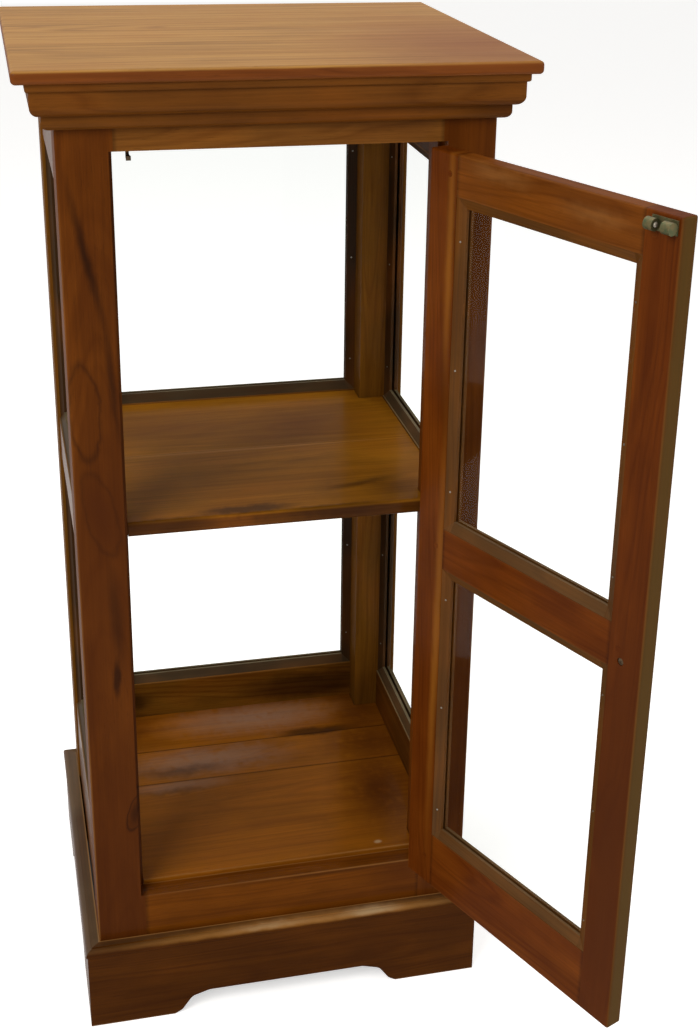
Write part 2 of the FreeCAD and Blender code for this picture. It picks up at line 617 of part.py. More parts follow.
def add_pull(stile_cutters, rail_cutters):
    """A drop pull outside: its post, screwed on through the door, and the drop with the pin it swings on."""
    at_door = (PULL_X, FRONT, PULL_Z)
    half_eye = "pull_eye_width / 2"
    neck = "pull_reach - pull_eye_diameter / 2 - pull_play"
    eye_x = ("%s - %s" % (PULL_X, half_eye), "%s + %s" % (PULL_X, half_eye))
    foot = rod("pull_foot", "pull_foot_diameter", "pull_foot_thickness", at_door, "-y")
    post = rod("pull_neck", "pull_neck_diameter", neck, at_door, "-y")
    tongue = box("pull_tongue", eye_x, (PULL_Y, "%s - (%s)" % (FRONT, neck)),
                 (PULL_Z + " - pull_eye_diameter / 2", PULL_Z + " + pull_eye_diameter / 2"))
    eye = rod("pull_eye", "pull_eye_diameter", "pull_eye_width", (eye_x[0], PULL_Y, PULL_Z), "+x")

    reach = "(%s + pull_play + pull_cheek_thickness)" % half_eye
    outer_x = ("%s - %s" % (PULL_X, reach), "%s + %s" % (PULL_X, reach))
    pin_bore = "pull_pin_diameter + 2 * pull_pin_clearance"
    pin_start = (outer_x[0], PULL_Y, PULL_Z)
    eye_hole = rod("pull_eye_hole", pin_bore, "2 * " + reach, pin_start, "+x")
    screw_bore = "pull_screw_diameter + 2 * screw_clearance"
    screw_hole = rod("pull_screw_hole", screw_bore, "pull_screw_depth + screw_clearance", at_door, "-y")
    solid = fuse("pull_post_solid", [foot, post, tongue, eye])
    subpart(cut("pull_post", solid, [eye_hole, screw_hole]), "pull_post")

    cheek_y = (PULL_Y + " - pull_cheek_depth / 2", PULL_Y + " + pull_cheek_depth / 2")
    bridge_top = PULL_Z + " - pull_bridge_drop"
    bridge_z = (bridge_top + " - pull_bridge_thickness", bridge_top)
    pieces = [box("pull_bridge", outer_x, cheek_y, bridge_z)]
    for cheek_x in ((outer_x[0], outer_x[0] + " + pull_cheek_thickness"),
                    (outer_x[1] + " - pull_cheek_thickness", outer_x[1])):
        start = (cheek_x[0], PULL_Y, PULL_Z)
        pieces.append(rod("pull_cheek", "pull_eye_diameter", "pull_cheek_thickness", start, "+x"))
        pieces.append(box("pull_arm", cheek_x, cheek_y, (bridge_z[0], PULL_Z)))
    weight_z = PULL_Z + " - pull_weight_drop"
    stem = "pull_weight_drop - pull_bridge_drop"
    pieces.append(rod("pull_stem", "pull_stem_diameter", stem, (PULL_X, PULL_Y, weight_z), "+z"))
    weight = doc.addObject("Part::Ellipsoid", "pull_weight")
    bind(weight, "Radius1", "pull_weight_height / 2")
    bind(weight, "Radius2", "pull_weight_diameter / 2")
    bind(weight, "Radius3", "pull_weight_diameter / 2")
    pieces.append(place(weight, PULL_X, PULL_Y, weight_z))
    pieces.append(rod("pull_pin", "pull_pin_diameter", "2 * " + reach, pin_start, "+x"))
    subpart(fuse("pull_drop", pieces), "pull_drop")

    # The screw's head is sunk into the door's inner face
    head_seat = "(%s - pull_screw_head_height - pull_screw_sink)" % DOOR_BACK
    head_bore = "pull_screw_head_diameter + 2 * screw_clearance"
    for cutters in (stile_cutters[-1], rail_cutters):
        cutters.append(rod("pull_door_hole", screw_bore, "door_thickness", at_door, "+y"))
        cutters.append(rod("pull_head_hole", head_bore, "pull_screw_head_height + 1",
                           (PULL_X, head_seat, PULL_Z), "+y"))
    shank = rod("pull_screw_shank", "pull_screw_diameter", "pull_screw_depth + %s - %s" % (head_seat, FRONT),
                (PULL_X, FRONT + " - pull_screw_depth", PULL_Z), "+y")
    cap = rod("pull_screw_head", "pull_screw_head_diameter", "pull_screw_head_height",
              (PULL_X, head_seat, PULL_Z), "+y")
    subpart(fuse("pull_screw", [shank, cap]), "pull_screw")


# Panes and their beads

def bead(wall, u, z, side, face, glass):
    """One mitred and bevelled bead: along one side of an opening, on one face of its glass."""
    axis, sign, half, inner = WALLS[wall]
    along_u = FreeCAD.Vector(0, 1, 0) if axis == "x" else FreeCAD.Vector(1, 0, 0)
    outwards = (FreeCAD.Vector(1, 0, 0) if axis == "x" else FreeCAD.Vector(0, 1, 0)) * sign
    up = FreeCAD.Vector(0, 0, 1)
    inwards = {"bottom": up, "top": -up, "low_u": along_u, "high_u": -along_u}[side]
    away = outwards * face
    run = inwards.cross(away)
    length = "(%s) - (%s)" % ((u[1], u[0]) if side in ("bottom", "top") else (z[1], z[0]))
    stick = doc.addObject("Part::Wedge", "bead")
    for prop, text in (("Xmin", "0"), ("Ymin", "0"), ("Zmin", "0"), ("Z2min", "0"), ("X2min", "bead_width"),
                       ("Xmax", length), ("Ymax", "bead_width"), ("Zmax", "bead_thickness"),
                       ("X2max", "(%s) - bead_width" % length), ("Z2max", "bead_lip")):
        bind(stick, prop, text)
    if side in ("bottom", "top"):
        start_u = u[0] if run.dot(along_u) > 0 else u[1]
        start_z = z[0] if side == "bottom" else z[1]
    else:
        start_u = u[0] if side == "low_u" else u[1]
        start_z = z[0] if run.dot(up) > 0 else z[1]
    n = "((%s) + (%d) * glass_thickness / 2) * (%d)" % (glass, face, sign)
    x, y = (n, start_u) if axis == "x" else (start_u, n)
    turn = FreeCAD.Rotation(FreeCAD.Matrix(run.x, inwards.x, away.x, 0,
                                           run.y, inwards.y, away.y, 0,
                                           run.z, inwards.z, away.z, 0,
                                           0, 0, 0, 1))
    return place(stick, x, y, start_z, rotation=turn)


def glaze(label, wall, u, z, glass):
    """A pane in an opening; gives back its beads."""
    pane_u = ("(%s) + glass_clearance" % u[0], "(%s) - glass_clearance" % u[1])
    pane_z = ("(%s) + glass_clearance" % z[0], "(%s) - glass_clearance" % z[1])
    pane_n = ("(%s) - glass_thickness / 2" % glass, "(%s) + glass_thickness / 2" % glass)
    subpart(group(label, [wall_box(label + "_pane", wall, pane_u, pane_n, pane_z)]), label)
    sides = ("bottom", "top", "low_u", "high_u")
    return [bead(wall, u, z, side, face, glass) for face in (-1, 1) for side in sides]


for wall in ("left", "right", "back"):
    inner = WALLS[wall][3]
    glass = WALLS[wall][2] + " - rail_recess - rail_thickness / 2"
    span = (minus(inner), inner)
    lower_z = ("bottom_rail_top", "mid_rail_top - mid_rail_height")
    beads = glaze(wall + "_upper_glass", wall, span, ("mid_rail_top", WALL_HEAD), glass)
    beads += glaze(wall + "_lower_glass", wall, span, lower_z, glass)
    subpart(group(wall + "_beads", beads), wall + "_beads")

# Door and what it carries, with the holes it makes in the frame

door_first = len(subparts)
door_rails, rail_solids, rail_cutters, stile_cutters = door_frame()
door_glass = HALF_D + " - door_thickness / 2"
door_span = (minus(DOOR_HALF_W + " - door_stile_width"), DOOR_HALF_W + " - door_stile_width")
upper_z = (door_rails["mid"][1], door_rails["top"][0])
lower_z = (door_rails["bottom"][1], door_rails["mid"][0])
beads = glaze("door_upper_glass", "front", door_span, upper_z, door_glass)
beads += glaze("door_lower_glass", "front", door_span, lower_z, door_glass)
subpart(group("door_beads", beads), "door_beads")
top_rail_cutters = []
frame_screws, door_screws = add_hinges(mortises["front_right"], stile_cutters)
add_catch(frame_screws, door_screws, [stile_cutters[-1], rail_cutters["top"]], top_rail_cutters)
add_pull(stile_cutters, rail_cutters["mid"])
for name, solid in rail_solids.items():
    label = "door_%s_rail" % name
    subpart(cut(label, solid, rail_cutters[name]), label)
for label, end in (("door_lock_stile", -1), ("door_hinge_stile", 1)):
    span = (DOOR_HALF_W + " - door_stile_width", DOOR_HALF_W)
    if end < 0:
        span = (minus(span[1]), minus(span[0]))
    outer_x = number(span[1] if end > 0 else span[0])
    top_z = number(DOOR_TOP)

    def free_arris(a, b):
        outside = near(a.x, outer_x) and near(b.x, outer_x)
        on_top = near(a.z, top_z) and near(b.z, top_z)
        return (outside and near(a.y, b.y)) or (on_top and (outside or near(a.y, b.y)))

    stile = soft_board(label + "_blank", span, (FRONT, DOOR_BACK), (DOOR_BOTTOM, DOOR_TOP),
                       free_arris, "door_arris")
    subpart(cut(label, stile, stile_cutters[end]), label)
subpart(group("door_screws", door_screws), "door_screws")
ON_THE_FRAME = ("hinge_frame_leaves", "hinge_pins", "catch_strike")
door_things = [thing for thing in subparts[door_first:] if thing.Label not in ON_THE_FRAME]
subpart(group("frame_screws", frame_screws), "frame_screws")

# Front top rail, with the strike's screw hole

blank = rail("front_top_rail", "front", (HALF_D + " - front_top_rail_thickness", HALF_D),
             (DOOR_HEAD, RAIL_TOP))
subparts.remove(blank)
blank.Label = "front_top_rail_blank"
subpart(cut("front_top_rail_done", blank, top_rail_cutters), "front_top_rail")

# Posts, with the door's rebate in the front pair

for name, cutters in mortises.items():
    front, right = name.startswith("front"), name.endswith("right")
    x = (INNER_W, HALF_W) if right else (minus(HALF_W), minus(INNER_W))
    y = (FRONT, minus(INNER_D)) if front else (INNER_D, HALF_D)
    outer_x = number(x[1] if right else x[0])
    outer_y = number(y[0] if front else y[1])

    def outer_arris(a, b):
        return all(near(end.x, outer_x) and near(end.y, outer_y) for end in (a, b))

    blank = soft_board("post_%s_blank" % name, x, y, ("0", "post_height"), outer_arris, "post_arris")
    if front:
        rebate_x = (INNER_W + " - 1", DOOR_FRAME_HALF_W)
        if not right:
            rebate_x = (minus(rebate_x[1]), minus(rebate_x[0]))
        rebate_y = (FRONT + " - 1", DOOR_BACK + " + door_rebate_clearance")
        cutters.append(box("door_rebate", rebate_x, rebate_y, ("front_bottom_rail_top", DOOR_HEAD)))
    subpart(cut("post_" + name, blank, cutters), "post_" + name)

# Shelf and floor boards, notched round the posts, with the battens that carry them


def boards(kind, front, joints, top, thickness, round_front):
    """Boards laid front to back between the walls: kind_front_board and so on."""
    reach = "(%s - board_clearance)" % RAIL_INNER_W
    back = "(%s - board_clearance)" % RAIL_INNER_D
    edges = [front] + joints + [back]
    names = ["front", "back"] if len(edges) == 3 else ["front", "middle", "back"]
    z = ("%s - %s" % (top, thickness), top)
    for index, name in enumerate(names):
        y = (edges[index] + (" + board_joint_gap" if index else ""), edges[index + 1])
        label = "%s_%s_board" % (kind, name)
        if name == "front" and round_front:
            edge_y = number(y[0])
            board = soft_board(label + "_blank", (minus(reach), reach), y, z,
                               lambda a, b: near(a.y, edge_y) and near(b.y, edge_y) and near(a.z, b.z),
                               round_front)
        else:
            board = box(label + "_blank", (minus(reach), reach), y, z)
        if name == "middle":
            subpart(board, label)
            continue
        notches = []
        for side in (-1, 1):
            x = (INNER_W + " - board_clearance", HALF_W)
            x = x if side > 0 else (minus(x[1]), minus(x[0]))
            post_y = (FRONT, minus(INNER_D) + " + board_clearance")
            if name == "back":
                post_y = (minus(post_y[1]), minus(post_y[0]))
            notches.append(box(label + "_notch", x, post_y, (z[0] + " - 1", z[1] + " + 1")))
        subpart(cut(label, board, notches), label)
    battens = []
    for side in (-1, 1):
        x = (RAIL_INNER_W + " - cleat_size", RAIL_INNER_W)
        x = x if side > 0 else (minus(x[1]), minus(x[0]))
        y = (minus(INNER_D), INNER_D)
        battens.append(box(kind + "_cleat", x, y, (z[0] + " - cleat_size", z[0])))
    subpart(group(kind + "_cleats", battens), kind + "_cleats")


boards("shelf", FRONT + " + shelf_setback", [FRONT + " + shelf_joint"], "shelf_top", "shelf_thickness",
       "shelf_edge_round")
floor_front = FRONT + " + rail_thickness + board_joint_gap"
floor_joint = floor_front + " + floor_front_board_width"
boards("floor", floor_front, [floor_joint, floor_joint + " + floor_middle_board_width"],
       "floor_top", "floor_thickness", None)

# Mouldings: mitred lengths round the posts' outer faces


def moulding(name, wall, profile, reach, rounds, foot_cut=False):
    """One length of moulding with mitred ends. The profile is given as distances out and up."""
    axis, sign, half, inner = WALLS[wall]
    end = HALF_D if axis == "x" else HALF_W
    body = doc.addObject("PartDesign::Body", name)

    def out(distance):
        return "(%s + %s) * (%d)" % (half, distance, sign)

    outline = polygon(body, "XZ_Plane" if axis == "x" else "YZ_Plane", [(out(o), z) for o, z in profile])
    feature = pad(body, outline, "2 * (%s + %s)" % (end, reach))
    # Both ends are cut on the diagonal from the post's corner outwards
    for side in (-1, 1):
        corners = [("-1", "-1"), (reach + " + 1", reach + " + 1"), (reach + " + 1", "-1")]
        points = []
        for past_end, past_face in corners:
            u = "(%s + %s) * (%d)" % (end, past_end, side)
            n = out(past_face)
            points.append((n, u) if axis == "x" else (u, n))
        feature = pocket(body, polygon(body, "XY_Plane", points), "4 * post_height")
    if foot_cut:
        feature = cut_feet(body, axis, end, feature)
    body.Tip = feature
    for distance, height, radius in rounds:
        n = number(out(distance))
        z = number(height)

        def on_edge(a, b):
            across = [(p.x, p.y)[axis == "y"] for p in (a, b)]
            return near(across[0], n) and near(across[1], n) and near(a.z, z) and near(b.z, z)

        feature = rounded(body, feature, on_edge, radius)
    return body


def cut_feet(body, axis, end, feature):
    """The cut between a plinth board's bracket feet, with an S-shaped curve at each end."""
    toe = "(%s + plinth_thickness + plinth_nose - foot_length)" % end
    steps = [("0", "0 - 1"), ("foot_curve * 0.25", "foot_cut_height * 0.18"),
             ("foot_curve * 0.52", "foot_cut_height * 0.78"), ("foot_curve", "foot_cut_height")]
    left = [("%s * (0 - 1) + %s" % (toe, step), height) for step, height in steps]
    right = [("%s - %s" % (toe, step), height) for step, height in reversed(steps)]
    role = "YZ_Plane" if axis == "x" else "XZ_Plane"
    feature = pocket(body, polygon(body, role, left + right), "4 * post_height")
    soft = [number(place_u) for place_u, height in left[1:] + right[:-1]]

    def on_curve(a, b):
        u = [(p.y, p.x)[axis == "y"] for p in (a, b)]
        return near(u[0], u[1]) and near(a.z, b.z) and a.z > 0.1 and any(near(u[0], s) for s in soft)

    body.Tip = feature
    return rounded(body, feature, on_curve, "foot_round")


PLINTH_PROFILE = [
    ("0", "0"),
    ("plinth_thickness", "0"),
    ("plinth_thickness", "plinth_height - plinth_step - plinth_nose_height"),
    ("plinth_thickness + plinth_nose", "plinth_height - plinth_step - plinth_nose_height + plinth_nose"),
    ("plinth_thickness + plinth_nose", "plinth_height - plinth_step"),
    ("plinth_ledge", "plinth_height - plinth_step"),
    ("plinth_ledge", "plinth_height"),
    ("0", "plinth_height"),
]
PLINTH_ROUNDS = [
    ("plinth_thickness + plinth_nose", "plinth_height - plinth_step", "plinth_nose_height * 0.7"),
]
for wall in WALLS:
    board = moulding("plinth_" + wall, wall, PLINTH_PROFILE, "(plinth_thickness + plinth_nose)",
                     PLINTH_ROUNDS, foot_cut=True)
    subpart(board, "plinth_" + wall)

UPPER_FOOT = "(post_height - cornice_upper_height)"
UPPER_REACH = "(cornice_upper_projection + cornice_band_projection)"
CORNICE_UPPER = [
    ("0", UPPER_FOOT),
    ("cornice_upper_projection", UPPER_FOOT),
    ("cornice_upper_projection", "post_height - cornice_band_height"),
    (UPPER_REACH, "post_height - cornice_band_height"),
    (UPPER_REACH, "post_height"),
    ("0", "post_height"),
]
LOWER_FOOT = "(post_height - cornice_upper_height - cornice_lower_height)"
CORNICE_LOWER = [
    ("0", LOWER_FOOT),
    ("cornice_lower_projection", LOWER_FOOT),
    ("cornice_lower_projection", UPPER_FOOT),
    ("0", UPPER_FOOT),
]
upper = [moulding("cornice_upper_" + wall, wall, CORNICE_UPPER, UPPER_REACH,
                  [("cornice_upper_projection", UPPER_FOOT, "cornice_upper_round"),
                   (UPPER_REACH, "post_height - cornice_band_height", "cornice_band_projection * 0.8")])
         for wall in WALLS]
lower = [moulding("cornice_lower_" + wall, wall, CORNICE_LOWER, "cornice_lower_projection",
                  [("cornice_lower_projection", LOWER_FOOT, "cornice_lower_round")])
         for wall in WALLS]
subpart(group("cornice_upper", upper), "cornice_upper")
subpart(group("cornice_lower", lower), "cornice_lower")

# Top board

top_x = (minus(HALF_W + " + top_overhang_side"), HALF_W + " + top_overhang_side")
top_y = (minus(HALF_D + " + top_overhang_front"), HALF_D + " + top_overhang_front")
top = soft_board("top_board", top_x, top_y, ("post_height", "post_height + top_thickness"),
                 lambda a, b: True, "top_edge_round")
subpart(top, "top_board")

doc.recompute()

# The door's pieces are swung open about the pins

SWING_COS = "cos(door_open_angle)"
SWING_SIN = "sin(door_open_angle)"
for thing in door_things:
    thing.Placement = FreeCAD.Placement(FreeCAD.Vector(0, 0, 0), FreeCAD.Rotation(FreeCAD.Vector(0, 0, 1), 1))
    bind(thing, "Placement.Rotation.Angle", "door_open_angle")
    bind(thing, "Placement.Base.x", "%s - %s * %s + %s * %s" % (PIN_X, SWING_COS, PIN_X, SWING_SIN, PIN_Y))
    bind(thing, "Placement.Base.y", "%s - %s * %s - %s * %s" % (PIN_Y, SWING_SIN, PIN_X, SWING_COS, PIN_Y))
doc.recompute()


def check_and_export():
    """Stops on any failed feature, then writes each sub-part about the origin."""
    failed = [thing.Name for thing in doc.Objects if "Invalid" in thing.State or "Error" in thing.State]
    if failed:
        raise RuntimeError("failed: " + ", ".join(failed))
    for thing in subparts:
        if thing.Shape.isNull() or not thing.Shape.isValid() or not thing.Shape.Solids:
            raise RuntimeError("no valid solid: " + thing.Label)
    whole = FreeCAD.BoundBox()
    for thing in subparts:
        whole.add(thing.Shape.optimalBoundingBox(False, False))
    origin = FreeCAD.Vector(whole.Center.x, whole.Center.y, whole.ZMin)
    for thing in subparts:
        shape = thing.Shape.copy()
        shape.translate(origin.negative())
        shape.exportStep("parts/%s.step" % thing.Label)
    print(len(subparts), "sub-parts,", sum(len(thing.Shape.Solids) for thing in subparts), "solids")
    print("origin from the carcass's middle: %.4f, %.4f, %.4f" % tuple(origin))


check_and_export()
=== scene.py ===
"""Display cabinet of varnished teak: finishes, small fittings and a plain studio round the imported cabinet."""

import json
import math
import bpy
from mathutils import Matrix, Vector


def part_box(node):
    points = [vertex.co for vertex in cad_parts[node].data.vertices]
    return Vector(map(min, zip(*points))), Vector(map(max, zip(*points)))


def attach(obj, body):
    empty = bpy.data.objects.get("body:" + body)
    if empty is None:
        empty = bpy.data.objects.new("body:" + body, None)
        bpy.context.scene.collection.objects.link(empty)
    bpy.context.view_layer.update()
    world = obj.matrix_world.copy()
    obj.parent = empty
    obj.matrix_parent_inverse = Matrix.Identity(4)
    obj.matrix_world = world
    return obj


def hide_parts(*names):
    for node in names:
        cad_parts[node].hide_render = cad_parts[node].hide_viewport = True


bl_info = {
    "name": "Teak Display Cabinet",
    "version": (1, 0, 0),
    "blender": (4, 5, 0),
    "location": "3D View > Sidebar > Cabinet",
    "description": "Finishes a glazed teak cabinet and sets it in a plain studio",
    "category": "Object",
}

from dataclasses import dataclass, replace

import bpy
from bpy.props import FloatProperty, FloatVectorProperty, PointerProperty
from mathutils import Matrix, Vector

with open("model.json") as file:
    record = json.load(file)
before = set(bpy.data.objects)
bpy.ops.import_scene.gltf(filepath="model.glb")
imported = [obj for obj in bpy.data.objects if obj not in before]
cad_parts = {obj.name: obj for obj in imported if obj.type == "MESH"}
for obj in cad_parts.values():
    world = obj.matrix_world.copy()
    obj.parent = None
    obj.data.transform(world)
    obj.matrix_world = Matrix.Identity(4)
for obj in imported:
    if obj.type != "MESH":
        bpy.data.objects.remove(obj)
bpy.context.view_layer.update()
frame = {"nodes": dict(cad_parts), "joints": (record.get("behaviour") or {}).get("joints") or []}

MM = 0.001
HINGE = next(joint for joint in frame["joints"] if joint["name"] == "door_hinge")
PIN = Vector((HINGE["pos_m"][0], HINGE["pos_m"][1], 0.0))
DOOR_OPEN = -math.radians(HINGE["range_deg"][0])
# Turns what is measured on the shut door to where the open door stands
SWING = Matrix.Translation(PIN) @ Matrix.Rotation(DOOR_OPEN, 4, "Z") @ Matrix.Translation(-PIN)
# The carcass's middle on the ground: the marks, the lamps and the camera are placed from here
TOP_LOW, TOP_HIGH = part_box("top_board")
MIDDLE = Vector(((TOP_LOW.x + TOP_HIGH.x) / 2, (TOP_LOW.y + TOP_HIGH.y) / 2, 0.0))


def linear(code):
    """A colour written as sRGB hex, as the linear numbers that Blender wants."""
    channels = []
    for start in (0, 2, 4):
        value = int(code[start : start + 2], 16) / 255
        channels.append(value / 12.92 if value <= 0.04045 else ((value + 0.055) / 1.055) ** 2.4)
    return tuple(channels)


def colour(label, code, description):
    return FloatVectorProperty(
        name=label, description=description, subtype="COLOR", size=3, min=0.0, max=1.0, default=linear(code)
    )


def millimetres(label, value, description):
    return FloatProperty(
        name=label, description=description, subtype="DISTANCE", unit="LENGTH", min=0.0, default=value * MM
    )


class CabinetColours(bpy.types.PropertyGroup):
    """Colours of the cabinet's materials."""

    top: colour("Top board", "a87a3a", "Golden teak of the top")
    # Painted shade on the top board's upright edges and over its right end, where less light falls
    top_edge_shade: colour("Top board's edge", "743d14", "Darker stain on the top board's edges and right end")
    cornice: colour("Cornice", "673c13", "Mouldings under the top")
    front_rails: colour("Front top rail", "704519", "Rail over the door")
    sill: colour("Front bottom rail", "673606", "Rail under the door")
    post: colour("Front posts", "5c2e08", "Red-brown teak of the front posts")
    back_post: colour("Back posts", "6a4311", "Golden-brown teak of the back posts and bottom rail")
    plinth: colour("Plinth", "4a2605", "Dark teak of the plinth")
    wall_rails: colour("Wall rails", "55300b", "Rails of the other walls, cleats, and the shelf's front edge")
    shelf: colour("Shelf", "8e5a10", "Shelf boards")
    floor_boards: colour("Floor boards", "90540e", "Boards of the cabinet's floor")
    door: colour("Door", "602c06", "Stiles and rails of the door")
    door_top: colour("Door top rail", "6b390e", "Lighter teak of the door's top rail")
    wall_beads: colour("Wall beads", "35200c", "Dark beads of the three fixed walls")
    beads: colour("Beads", "583410", "Glazing beads")
    late_wood: colour("Late wood", "8a6040", "Multiplies a board's colour along its rings' dark lines")
    honey: colour("Honey teak", "8f4f14", "Golden clouds in the wood")
    # Red clouds in the wood, and patches of painted shade on the floor and the left post
    russet_and_shade: colour("Russet teak", "472006", "Red clouds and patches in the wood")
    # Yellow sapwood streaks, and painted highlights along the hinge stile and the plinth's nose
    sapwood_and_highlight: colour("Sapwood", "9c6420", "Yellow streaks and thin worn lines")
    stain: colour("Dark stain", "1d0c04", "Knots, cracks and dark streaks")
    dust: colour("Dust", "857a5c", "Grey-green dust on ledges")
    # Painted reflection of the white room in the floor's varnish, with some dull bloom
    reflection_and_bloom: colour("Haze", "8a7466", "Dull bloom in the varnish of the floor")
    olive: colour("Olive film", "54401a", "Greenish film on the door's free edge")
    # Painted highlights on worn edges
    painted_highlight: colour("Glint", "b89c74", "Polished spots on worn edges")
    # Worn arrises, and the painted highlight along them
    worn_and_highlight: colour("Worn arris", "a5733c", "Wood where the stain has rubbed thin")
    brass: colour("Brass", "665b3e", "Catch and hinges")
    bronze: colour("Bronze", "4a3620", "Drop pull")
    verdigris: colour("Verdigris", "49523a", "Green bloom on old brass")
    steel: colour("Steel", "8d887c", "Pins, springs and balls")
    # Browned steel of the screws, also dark enough to paint the strike in shade
    rust: colour("Browned steel", "5a4a38", "Screws and the strike, gone brown")
    glass: colour("Glass", "fbfdfc", "Panes")
    paper: colour("Paper", "f4f2ee", "Studio floor")


class CabinetSizes(bpy.types.PropertyGroup):
    """Sizes of the figure in the wood and of the small fittings."""

    ring: millimetres("Ring width", 4.6, "Growth rings on a quartered face")
    pore: millimetres("Pore width", 0.6, "Teak's pores, drawn coarser than they are so that they show")
    arris: millimetres("Worn arris", 2.2, "How far the wear reaches from an arris")
    pin_head: millimetres("Pin head", 1.9, "Panel pins in the glazing beads, across the head")
    pin_spacing: millimetres("Pin spacing", 124.0, "Between two pins of a bead")
    screw_slot: millimetres("Screw slot", 1.1, "Width of the slot in the pull's screw")
    varnish_gloss: FloatProperty(
        name="Varnish roughness", description="Roughness of the varnish coat", min=0.0, max=1.0, default=0.2
    )


# Nodes and materials

# Patterns of the wood in cycles a millimetre, along the grain and across it, and the pores' in cycles a pore
DRIFT_SCALE = (0.0045, 0.022, 0.022)
STREAK_SCALE = (0.0028, 0.07, 0.07)
FIBRE_SCALE = (0.01, 0.6, 0.6)
CLOUD_SCALE = (0.009, 0.022, 0.022)
PORE_STRETCH = (0.05, 1.0, 1.0)
YEAR_SCALE = 0.11
# How far the rings wander, in millimetres, and how unlike the years are, in rings
RING_WANDER = 16.0
YEAR_SPREAD = 3.0
# How strongly each shows
STREAK_STRENGTH = 0.38
PORE_STRENGTH = 0.28
FIBRE_LEVELS = (0.87, 1.13)
# The normal's Z where a level board's face ends and its painted shade on the upright edges begins, and where
# that shade is full
FACE_TILT, EDGE_TILT = 0.75, 0.35
# Millimetres of dark joint along a seam and at a shoulder
SEAM_WIDTH = 1.6
SHOULDER_WIDTH = 5.0
SHOULDER_GRIME = 0.45
# The rim of an arch in shares of its reach, and the noise on a mark's edge in cycles a metre
RIM_PLACE, RIM_WIDTH, RIM_LEVEL = 0.18, 0.16, 0.55
RAGGED_SCALE = 60.0
# Wood under varnish hardly shines by itself
BARE_SHEEN = 0.01
VARNISH_IOR = 1.5
# The glass's mirror straight on and at a flat angle
MIRROR_FACING, MIRROR_FLAT = 0.004, 0.03
# How much rougher metal is in its scratches
SCRATCH_SPREAD = 0.25
BEAD_WIDTH = 10 * MM


def add_node(tree, kind, values=None, **settings):
    """Adds a node with its settings, and fills its inputs, named or numbered, with values or links."""
    made = tree.nodes.new("ShaderNode" + kind)
    for name, value in settings.items():
        setattr(made, name, value)
    shown = [socket for socket in made.inputs if socket.enabled]
    for key, value in (values or {}).items():
        socket = shown[key] if isinstance(key, int) else next(each for each in shown if each.name == key)
        if isinstance(value, bpy.types.Node):
            value = next(each for each in value.outputs if each.enabled)
        if isinstance(value, bpy.types.NodeSocket):
            tree.links.new(value, socket)
        elif socket.type == "RGBA" and len(value) == 3:
            socket.default_value = (*value, 1.0)
        else:
            socket.default_value = value
    return made


def new_material(name):
    """A material with an empty tree."""
    material = bpy.data.materials.new(name)
    material.use_nodes = True
    material.node_tree.nodes.clear()
    return material, material.node_tree


